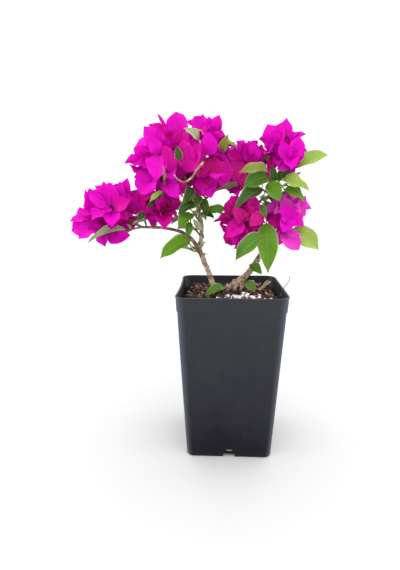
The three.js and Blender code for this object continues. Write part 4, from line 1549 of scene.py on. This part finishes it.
def crumb_finish(name, code, roughness=0.9):
    """A crumb of bark or mix, or a small flower: mottled and rough."""
    made, wires, shader = new_finish(name, roughness, Specular_IOR_Level=0.3)
    mottled = wires.group(mottle(), Colour=(*paint(code), 1), Size=400.0, Amount=0.3)
    wires.feed(shader["Base Color"], mottled["Colour"])
    height = wires.group(grain(), Fine=1800.0, Coarse=420.0, Stretch=1.0)["Height"]
    bump(wires, shader, height, strength=0.8, distance=0.0008)
    return made


# ---------------------------------------------------------------- pot


def rounded_square(side, radius, z, corner_steps=10, side_steps=8):
    """Points of a rounded square, anticlockwise seen from above. side is the outer width."""
    corners = ((1, 1), (-1, 1), (-1, -1), (1, -1))
    middle = side / 2 - radius
    ring = []
    for corner, (sx, sy) in enumerate(corners):
        for step in range(corner_steps + 1):
            angle = math.pi / 2 * (corner + step / corner_steps)
            ring.append((sx * middle + radius * math.cos(angle), sy * middle + radius * math.sin(angle), z))
        nx, ny = corners[(corner + 1) % 4]
        x, y, _ = ring[-1]
        for step in range(1, side_steps):
            share = step / side_steps
            ring.append((x + (nx - sx) * middle * share, y + (ny - sy) * middle * share, z))
    return ring


def wall_ring(z, grow):
    """A ring of the pot's wall, set in or out by grow, with the left side sprung inward near the rim."""
    up = z / POT_HEIGHT
    side = POT_FOOT + (POT_TOP - 2 * BAND_STEP - POT_FOOT) * up
    radius = FOOT_RADIUS + (RIM_RADIUS - FOOT_RADIUS) * up
    ring = []
    for x, y, level in rounded_square(side + 2 * grow, radius + grow, z):
        if x < 0:
            x += BOW * max(0, 1 - (y / (side / 2)) ** 2) * up**4
        ring.append((x, y, level))
    return ring


def loft(rings):
    """Points and faces of a closed skin through rings of equal length."""
    count = len(rings[0])
    points = [point for ring in rings for point in ring]
    faces = [tuple(reversed(range(count)))]
    for i in range(len(rings) - 1):
        low, high = i * count, (i + 1) * count
        faces += [(low + j, low + (j + 1) % count, high + (j + 1) % count, high + j) for j in range(count)]
    faces.append(tuple(range((len(rings) - 1) * count, len(rings) * count)))
    return np.array(points, float), faces


def pot_profile(wall):
    """The pot's section, foot to rim to floor: heights, and how far it stands out of the plain wall."""
    band_foot = POT_HEIGHT - BAND
    outside = [(0, -FOOT_BEVEL), (0.35, -0.5 * FOOT_BEVEL), (FOOT_BEVEL, 0)]
    outside += [(z, 0) for z in np.linspace(8, band_foot - 6, 12)]
    outside += [(band_foot - 0.9, 0), (band_foot - 0.35, 0.12), (band_foot, 0.5 * BAND_STEP)]
    outside += [(band_foot + 0.35, 0.88 * BAND_STEP)]
    outside += [(band_foot + up, BAND_STEP) for up in (0.9, 5)]
    bead = [(-2.0, 0), (-1.6, 0.3), (-1.0, 0.5), (-0.45, 0.42), (-0.1, 0.15), (0, -0.2)]
    outside += [(POT_HEIGHT + up * LIP, BAND_STEP + out * LIP) for up, out in bead]
    inside = [(POT_HEIGHT, BAND_STEP - 0.75 * wall), (POT_HEIGHT - 0.3, BAND_STEP - wall)]
    inside += [(band_foot + 1, BAND_STEP - wall), (band_foot - 1.5, -wall)]
    inside += [(z, -wall) for z in np.linspace(band_foot - 12, FLOOR + 8, 6)]
    return outside + inside + [(FLOOR, -wall - 2)]


class BOUGAINVILLEA_OT_pot(bpy.types.Operator):
    """Add the nursery pot: rounded walls, stiffened band, rolled rim and drain notches"""

    bl_idname = "bougainvillea.add_pot"
    bl_label = "Pot"

    def execute(self, context):
        settings = context.scene.bougainvillea.pot
        rings = [wall_ring(z, grow) for z, grow in pot_profile(settings.wall / MM)]
        batch = Batch([plastic_finish(list(settings.colour), list(settings.dust))])
        batch.add(*loft(rings))
        pot = batch.build("pot_shell", ["pot"], smooth_angle=40)
        cutter = self.add_cutter()
        cut = pot.modifiers.new("Drain notches", "BOOLEAN")
        cut.object = cutter
        cut.solver = "EXACT"
        context.view_layer.objects.active = pot
        bpy.ops.object.modifier_apply(modifier=cut.name)
        bpy.data.objects.remove(cutter)
        return {"FINISHED"}

    @staticmethod
    def add_cutter():
        """Four arched plugs, one in the middle of each foot edge."""
        width, depth, height = DRAIN
        sides = [(width * across, height * up) for across, up in DRAIN_ARCH]
        arch = [(-width / 2, -1), (width / 2, -1), *sides, *((-x, z) for x, z in reversed(sides))]
        batch = Batch()
        for quarter in range(4):
            turn = Matrix.Rotation(quarter * math.pi / 2, 3, "Z")
            reaches = (-POT_FOOT / 2 + depth, -POT_FOOT / 2 - depth)
            batch.add(*loft([[turn @ Vector((x, y, z)) for x, z in arch] for y in reaches]))
        return new_object("drain_cutter", np.concatenate(batch.points), batch.faces)


# ---------------------------------------------------------------- potting mix


MIX_LUMPS = ((0, 0.12, 1.6), (9, 0.35, 0.9))  # level in the noise, how often per millimetre, and height


def mix_level(x, y):
    """Height of the mix's surface: a flat-topped heap with an uneven skin."""
    reach = POT_TOP / 2 - MIX_INSET
    share = (1 - max(abs(x), abs(y)) / reach) / (1 - MIX_FLAT / reach)
    heap = math.sin(min(1, max(0, share)) * math.pi / 2)
    rough = sum(noise.noise(Vector((x, y, z)) * often) * high for z, often, high in MIX_LUMPS)
    return MIX_EDGE + (MIX_CROWN - MIX_EDGE) * heap + rough


def mix_body(wall):
    """The mix as a closed skin: down the wall's inside, and over its uneven top."""
    inside = -wall - GAP
    rings = [wall_ring(z, inside) for z in (FLOOR + GAP, POT_HEIGHT / 2, MIX_EDGE - 1)]
    outer = rings[-1]
    for share in np.linspace(0, 0.97, 22):
        ring = [(x * (1 - share), y * (1 - share)) for x, y, _ in outer]
        rings.append([(x, y, mix_level(x, y)) for x, y in ring])
    return loft(rings)


def shard(dice, length, width, thick):
    """Points and faces of a split chip: a box with uneven, tapered corners."""
    points = []
    for sx in (-1, 1):
        taper = dice.uniform(0.35, 1)
        for sy in (-1, 1):
            for sz in (-1, 1):
                jitter = [dice.uniform(0.75, 1.15) for _ in range(3)]
                size = (sx * length * jitter[0], sy * width * taper * jitter[1], sz * thick * jitter[2])
                points.append([s / 2 for s in size])
    faces = [(0, 1, 3, 2), (4, 6, 7, 5), (0, 4, 5, 1), (2, 3, 7, 6), (0, 2, 6, 4), (1, 5, 7, 3)]
    return np.array(points), faces


def pebble(dice, size):
    """Points and faces of a small rounded grain: two stacked rings between two poles."""
    points = [(0, 0, size * 0.5)]
    for z, radius in ((0.28, 0.42), (-0.22, 0.46)):
        for k in range(6):
            angle = math.pi / 3 * k
            r = size * radius * dice.uniform(0.8, 1.2)
            points.append((r * math.cos(angle), r * math.sin(angle), size * z * dice.uniform(0.8, 1.2)))
    points.append((0, 0, -size * 0.5))
    faces = [(0, 1 + k, 1 + (k + 1) % 6) for k in range(6)]
    faces += [(1 + k, 7 + k, 7 + (k + 1) % 6, 1 + (k + 1) % 6) for k in range(6)]
    faces += [(13, 7 + (k + 1) % 6, 7 + k) for k in range(6)]
    return np.array(points), faces


def strewn(points, x, y, height, dice, tilt):
    """Points turned at random, within tilt degrees of flat, and laid at a height over the mix."""
    turn = Matrix.Rotation(dice.uniform(0, 2 * math.pi), 3, "Z")
    lean = Matrix.Rotation(math.radians(dice.uniform(-tilt, tilt)), 3, "X")
    roll = Matrix.Rotation(math.radians(dice.uniform(-tilt, tilt)), 3, "Y")
    return points @ np.array(turn @ lean @ roll).T + np.array((x, y, mix_level(x, y) + height))


def held(x, y, reach):
    """x and y, kept within reach of the middle."""
    return [max(-reach, min(reach, v)) for v in (x, y)]


def fallen_bract():
    """A small dry bract that lies curled on the mix."""
    form = Form(
        width=0.7,
        fullest=0.45,
        rise=0.5,
        point=0.5,
        thickness=0.4,
        crease=25,
        arch=60,
        cup=0.3,
        wave=0.3,
        waves=2.2,
        twist=20,
        rows=8,
        columns=6,
    )
    foot, along = Vector((17, -18, 155.5)), Vector((0.9, 0.1, 0.1)).normalized()
    return Blade(foot, along, face=UP, length=12, form=form, seed=5)


class BOUGAINVILLEA_OT_mix(bpy.types.Operator):
    """Add the potting mix, with its bark chips, white grains and litter"""

    bl_idname = "bougainvillea.add_mix"
    bl_label = "Potting Mix"

    CHIP_LENGTHS = (0.12, 1)  # shares of the longest, before the power below
    CHIP_POWER = 1.4  # the higher, the more small chips
    CHIP_WIDTHS = (0.1, 0.42)  # shares of its length
    CHIP_DEPTHS = (0.3, 0.7)  # shares of its width
    CHIP_LIES = (-0.2, 1.2)  # over the mix
    CHIP_TILT = 38  # degrees, as are the other tilts
    GRAIN_TILT = 90
    GRAIN_PATCH = ((11, 10), (-29, 8))  # middle and spread in X and in Y
    STRAY_GRAIN = 7  # every seventh lies anywhere
    GRAIN_SIZES = (1.1, 3.6)
    SPLINTERS = 26
    SPLINTER_FIELD = ((20, 43), (-22, 20))
    SPLINTER_SIZES = ((4, 11), (0.8, 2), (0.6, 1.4))
    SPLINTER_LIES = (0.6, 2.6)
    SPLINTER_TILT = 45
    RODS = (  # points, radius at either end, and finish
        (STUB, 1.4, 0.9, "dry_stub"),
        (STUB_FORK, 1.1, 0.5, "dry_stub"),
        (THREAD, 0.4, 0.3, "dry_thread"),
        (NOTCH_SLIVER, 0.6, 0.5, "notch_sliver"),
    )

    def execute(self, context):
        settings = context.scene.bougainvillea
        wall = settings.pot.wall / MM
        reach = POT_TOP / 2 - wall - LITTER_INSET
        # The mix is nearly black: its own dark tone, and painted shade for the hollows seen through the
        # drain notches.
        body = Batch([crumb_finish("potting_mix", "17100d")])
        body.add(*mix_body(wall))
        body.build("mix_body", ["soil"], smooth_angle=60)
        self.add_chips(settings.mix, reach)
        self.add_grains(settings.mix, reach)
        self.add_litter()
        return {"FINISHED"}

    def add_chips(self, settings, reach):
        """Split bark chips, most of them small."""
        dice = random.Random("chips")
        batch = Batch([crumb_finish(f"bark_chip_{k + 1}", code) for k, code in enumerate(CHIP_TONES)])
        for _ in range(settings.chips):
            x, y = dice.uniform(-reach, reach), dice.uniform(-reach, reach)
            length = settings.chip_length / MM * dice.uniform(*self.CHIP_LENGTHS) ** self.CHIP_POWER
            width = length * dice.uniform(*self.CHIP_WIDTHS)
            points, faces = shard(dice, length, width, width * dice.uniform(*self.CHIP_DEPTHS))
            x, y = held(x, y, reach - length / 2)
            height = dice.uniform(*self.CHIP_LIES)
            tone = dice.choices(range(len(CHIP_TONES)), tuple(CHIP_TONES.values()))[0]
            batch.add(strewn(points, x, y, height, dice, self.CHIP_TILT), faces, tone)
        batch.build("bark_chips", [], smooth_angle=20)

    def add_grains(self, settings, reach):
        """White grains. Most lie in front of the stems, to the right of the middle."""
        dice = random.Random("grains")
        batch = Batch([crumb_finish("white_grain", "f4f2ec")])
        for number in range(settings.grains):
            if number % self.STRAY_GRAIN:
                x, y = (dice.gauss(*spread) for spread in self.GRAIN_PATCH)
            else:
                x, y = dice.uniform(-reach, reach), dice.uniform(-reach, reach)
            x, y = held(x, y, reach - 2)
            size = dice.uniform(*self.GRAIN_SIZES)
            points, faces = pebble(dice, size)
            batch.add(strewn(points, x, y, size * 0.2 + 0.6, dice, self.GRAIN_TILT), faces)
        batch.build("white_grains", [], smooth_angle=60)

    def add_litter(self):
        """A dry stub and splinters, a fallen bract, a thread over the rim and a pale sliver in the front
        drain notch.
        """
        dice = random.Random("litter")
        order = list(LITTER_TONES)
        batch = Batch([crumb_finish(name, code) for name, code in LITTER_TONES.items()])
        for _ in range(self.SPLINTERS):
            x, y = (dice.uniform(*span) for span in self.SPLINTER_FIELD)
            points, faces = shard(dice, *(dice.uniform(*span) for span in self.SPLINTER_SIZES))
            height = dice.uniform(*self.SPLINTER_LIES)
            points = strewn(points, x, y, height, dice, self.SPLINTER_TILT)
            tone = dice.choice(("dry_stub", "dry_bark", "dry_bark"))
            batch.add(points, faces, order.index(tone))
        for points, thick, thin, tone in self.RODS:
            number = order.index(tone)
            batch.add(*rod(points, thick, thin, 14, 8, (str(number), 0.55)), number)
        fallen = fallen_bract()
        grid = sheet(fallen.form.rows, fallen.form.columns)
        batch.add(blade_points(fallen, grid), grid.faces, order.index("fallen_bract"))
        batch.build("litter", [], smooth_angle=30)


# ---------------------------------------------------------------- stems and boughs


def limb_profile(plan, length, steps):
    """The radius along a limb: its taper, and its flare at the foot, which fades sooner on a bough."""
    foot, tip = plan.radii
    fade = BOUGH_FLARE_LENGTH if plan.limb else FLARE_LENGTH
    shares = np.linspace(0, 1, steps)
    return foot + (tip - foot) * shares**0.8 + plan.flare * np.exp(-shares * length / fade)


class BOUGAINVILLEA_OT_limbs(bpy.types.Operator):
    """Add the stems and boughs with the relief of their bark, and the thorns"""

    bl_idname = "bougainvillea.add_limbs"
    bl_label = "Stems and Boughs"

    STEP = 0.8  # between the rings of a limb
    THORN_RADII = (1.1, 0.95, 0.75, 0.55, 0.4, 0.25, 0.06)
    THORN_SLOPE = 12  # degrees
    THORN_FOOT = 1.5  # from the middle of its stem
    THORN_DROOP = 0.06

    def execute(self, context):
        relief = context.scene.bougainvillea.bark.relief
        plant = growth(context)
        woods = plant_woods(context)
        for name, plan in LIMBS.items():
            curve = plant.limbs[name]
            steps = max(12, round(curve.length / self.STEP))
            places = [curve.at(share) for share in np.linspace(0, 1, steps)]
            radii = limb_profile(plan, curve.length, steps)
            batch = Batch([woods[plan.wood]])
            batch.add(*tube(places, radii, 20, bark_swell(name, relief, curve.length)))
            batch.build(f"{name}_bark", [name], smooth_angle=70)
        self.add_roots(relief, woods["bark"])
        self.add_thorns(plant, woods["green_wood"])
        return {"FINISHED"}

    @staticmethod
    def add_roots(relief, finish):
        """The gnarled roots that spread from the foot of the right stem over the mix."""
        batch = Batch([finish])
        for number, points in enumerate(SURFACE_ROOTS):
            batch.add(*rod(points, 1.9, 0.9, 20, 14, (f"root {number}", 2 * relief)))
        batch.build("surface_roots", [], smooth_angle=70)

    def add_thorns(self, plant, finish):
        """Curved thorns, which stand out of the stems beside old leaf places."""
        batch = Batch([finish])
        for limb, share, heading, length in THORNS:
            foot = plant.limbs[limb].at(share)
            out = direction(heading, self.THORN_SLOPE)
            reaches = [length * k / 5 + self.THORN_FOOT for k in range(-1, 6)]
            drops = [UP * -self.THORN_DROOP * k * k for k in range(-1, 6)]
            places = [foot + out * reach + drop for reach, drop in zip(reaches, drops)]
            batch.add(*tube(places, self.THORN_RADII, 8))
        batch.build("thorns", [])


# ---------------------------------------------------------------- foliage and blossom


def add_blades(name, masses, blades, tones, finishes):
    """One joined piece of blades, which stands for the masses that they are in."""
    order = list(tones)
    batch = Batch(finishes)
    for blade in blades:
        grid = sheet(blade.form.rows, blade.form.columns)
        first = 2 * order.index(blade.tone)
        slots = [first + side for side in grid.sides]
        batch.add(blade_points(blade, grid), grid.faces, slots, grid.places)
    return batch.build(name, masses, smooth_angle=75)


def stem_of(limb):
    """The stem that a limb grows from in the end."""
    while LIMBS[limb].limb:
        limb = LIMBS[limb].limb
    return limb


class BOUGAINVILLEA_OT_leaves(bpy.types.Operator):
    """Add the leaves, spray by spray, joined in one piece for each stem"""

    bl_idname = "bougainvillea.add_leaves"
    bl_label = "Leaves"

    def execute(self, context):
        plant = growth(context)
        for side in ("left", "right"):
            masses = [name for name, plan in SPRAYS.items() if stem_of(plan.limb) == f"stem_{side}"]
            blades = [blade for name in masses for blade in plant.blades[name]]
            add_blades(f"leaves_of_{side}_stem", masses, blades, LEAF_TONES, leaf_finishes())
        return {"FINISHED"}


class BOUGAINVILLEA_OT_blossom(bpy.types.Operator):
    """Add the bracts, one joined piece for each mass, and the slender flowers inside them"""

    bl_idname = "bougainvillea.add_blossom"
    bl_label = "Blossom"

    FLOWER_SHARE = 0.42  # of a bract's length
    FLOWER_LEAN = 0.16
    FLOWER_RADII = (0.3, 0.42, 0.52, 0.46, 0.55, 0.3)
    BUD_LENGTH = 0.6
    BUD_RADII = (0.32, 0.1)

    def execute(self, context):
        plant = growth(context)
        for name in BLOSSOMS:
            add_blades(f"{name}_bracts", [name], plant.blades[name], BRACT_TONES, bract_finishes())
        self.add_flowers(plant)
        return {"FINISHED"}

    def add_flowers(self, plant):
        """Three closed tubes in each triplet, one on each bract."""
        tube_finish = crumb_finish("flower_tube", "8c1450", 0.6)
        batch = Batch([tube_finish, crumb_finish("flower_tip", "9c6a5c", 0.6)])
        for flowers in plant.flowers.values():
            for heart, axis, spin, length in flowers:
                for radial in thirds(axis, spin):
                    way = (axis + radial * self.FLOWER_LEAN).normalized()
                    reach = self.FLOWER_SHARE * length
                    places = [heart + way * reach * k / 5 for k in range(6)]
                    batch.add(*tube(places, self.FLOWER_RADII, 6))
                    bud = [places[-1], places[-1] + way * self.BUD_LENGTH]
                    batch.add(*tube(bud, self.BUD_RADII, 6), 1)
        batch.build("flower_tubes", [])


class BOUGAINVILLEA_OT_twigs(bpy.types.Operator):
    """Add the twigs, stalks and petioles, and the hooked twig in front of the upper blossom"""

    bl_idname = "bougainvillea.add_twigs"
    bl_label = "Twigs"

    def execute(self, context):
        plant = growth(context)
        shoot = bark_finish("pale_shoot", paint("b0937a"), paint("7c5e4c"), paint("d2baa8"))
        batch = Batch([plant_woods(context)["green_wood"], shoot])
        for twigs in plant.twigs.values():
            for twig in twigs:
                radii = np.linspace(twig.thick, twig.thin, len(twig.places))
                batch.add(*tube(twig.places, radii, 6))
        for points, thick, thin in ((HOOKED_TWIG, 0.6, 1.05), (TENDRIL, 0.7, 0.5)):
            batch.add(*rod(points, thick, thin, 24, 8), 1)
        batch.build("twigs", [], smooth_angle=80)
        return {"FINISHED"}


# ---------------------------------------------------------------- stage


class BOUGAINVILLEA_OT_stage(bpy.types.Operator):
    """Add the plain floor, the soft studio light and the camera"""

    bl_idname = "bougainvillea.add_stage"
    bl_label = "Stage"

    EYE = (-15, -370, 245)
    LOOK = (92.2, -12.9)  # heading and slope
    LENS = 24.63
    SENSOR = 36
    FLOOR_RADIUS = 12  # in metres, as are the lights' places and sizes
    LIGHTS = (  # name, place, size and power
        ("left_light", (-0.8, 0.0, 0.45), 0.6, 5.0),
        ("right_light", (0.8, 0.0, 0.45), 0.6, 4.0),
        ("front_light", (-0.4, -0.8, 0.9), 0.8, 3.0),
        ("top_light", (0.1, 0.2, 1.1), 0.9, 3.0),
    )
    LIT_AT = Vector((0, 0, 0.2))  # where the lights look
    SKY = 1.2

    def execute(self, context):
        settings = context.scene.bougainvillea.stage
        lit = bpy.data.collections.new("lit")
        for piece in context.scene.objects:
            lit.objects.link(piece)
        self.add_floor(list(settings.floor))
        self.add_world(context, settings.light)
        for name, place, size, power in self.LIGHTS:
            light = self.add_light(name, Vector(place), size, power * settings.light)
            light.light_linking.receiver_collection = lit
        self.add_camera(context)
        return {"FINISHED"}

    def add_floor(self, colour):
        """A round floor, so wide that its edge is out of sight."""
        made, _, shader = new_finish("floor_paint", 0.9, Specular_IOR_Level=0.1)
        shader["Base Color"].default_value = (*colour, 1)
        bpy.ops.mesh.primitive_circle_add(
            vertices=96, radius=self.FLOOR_RADIUS, fill_type="NGON", location=(0, 0, 0)
        )
        floor = bpy.context.object
        floor.name = "floor"
        floor.data.materials.append(made)

    def add_world(self, context, strength):
        """White light from all round."""
        world = bpy.data.worlds.new("studio")
        world.use_nodes = True
        background = world.node_tree.nodes["Background"]
        background.inputs["Color"].default_value = (1.0, 1.0, 1.0, 1)
        background.inputs["Strength"].default_value = self.SKY * strength
        context.scene.world = world
        context.scene.view_settings.view_transform = "Standard"

    def add_light(self, name, place, size, power):
        """A square soft light that looks at the plant."""
        light = bpy.data.lights.new(name, "AREA")
        light.size = size
        light.energy = power
        holder = bpy.data.objects.new(name, light)
        holder.location = place
        holder.rotation_euler = (self.LIT_AT - place).to_track_quat("-Z", "Y").to_euler()
        bpy.context.scene.collection.objects.link(holder)
        return holder

    def add_camera(self, context):
        """The camera in front of the plant, a little above the rim and looking down."""
        camera = bpy.data.cameras.new("camera")
        camera.sensor_width = self.SENSOR
        camera.lens = self.LENS
        holder = bpy.data.objects.new("camera", camera)
        holder.location = Vector(self.EYE) * MM
        holder.rotation_euler = direction(*self.LOOK).to_track_quat("-Z", "Y").to_euler()
        context.scene.collection.objects.link(holder)
        context.scene.camera = holder


# ---------------------------------------------------------------- panel and registration


OPERATORS = (
    BOUGAINVILLEA_OT_pot,
    BOUGAINVILLEA_OT_mix,
    BOUGAINVILLEA_OT_limbs,
    BOUGAINVILLEA_OT_leaves,
    BOUGAINVILLEA_OT_blossom,
    BOUGAINVILLEA_OT_twigs,
    BOUGAINVILLEA_OT_stage,
)


class BOUGAINVILLEA_PT_sidebar(bpy.types.Panel):
    """Buttons and settings of the potted plant"""

    bl_idname = "BOUGAINVILLEA_PT_sidebar"
    bl_label = "Potted Bougainvillea"
    bl_space_type = "VIEW_3D"
    bl_region_type = "UI"
    bl_category = "Bougainvillea"

    def draw(self, context):
        column = self.layout.column()
        for operator in OPERATORS:
            column.operator(operator.bl_idname)
        settings = context.scene.bougainvillea
        for name, group in PlantSettings.__annotations__.items():
            box = self.layout.box()
            box.label(text=name.capitalize())
            for prop in group.keywords["type"].__annotations__:
                box.prop(getattr(settings, name), prop)


CLASSES = (
    PotSettings,
    MixSettings,
    BarkSettings,
    LeafSettings,
    BractSettings,
    StageSettings,
    PlantSettings,
    *OPERATORS,
    BOUGAINVILLEA_PT_sidebar,
)


def register():
    for made in CLASSES:
        bpy.utils.register_class(made)
    bpy.types.Scene.bougainvillea = PointerProperty(type=PlantSettings)


def unregister():
    del bpy.types.Scene.bougainvillea
    for made in reversed(CLASSES):
        bpy.utils.unregister_class(made)


def main():
    register()
    bpy.ops.bougainvillea.add_pot()
    bpy.ops.bougainvillea.add_mix()
    bpy.ops.bougainvillea.add_limbs()
    bpy.ops.bougainvillea.add_leaves()
    bpy.ops.bougainvillea.add_blossom()
    bpy.ops.bougainvillea.add_twigs()
    bpy.ops.bougainvillea.add_stage()


if __name__ == "__main__":
    main()
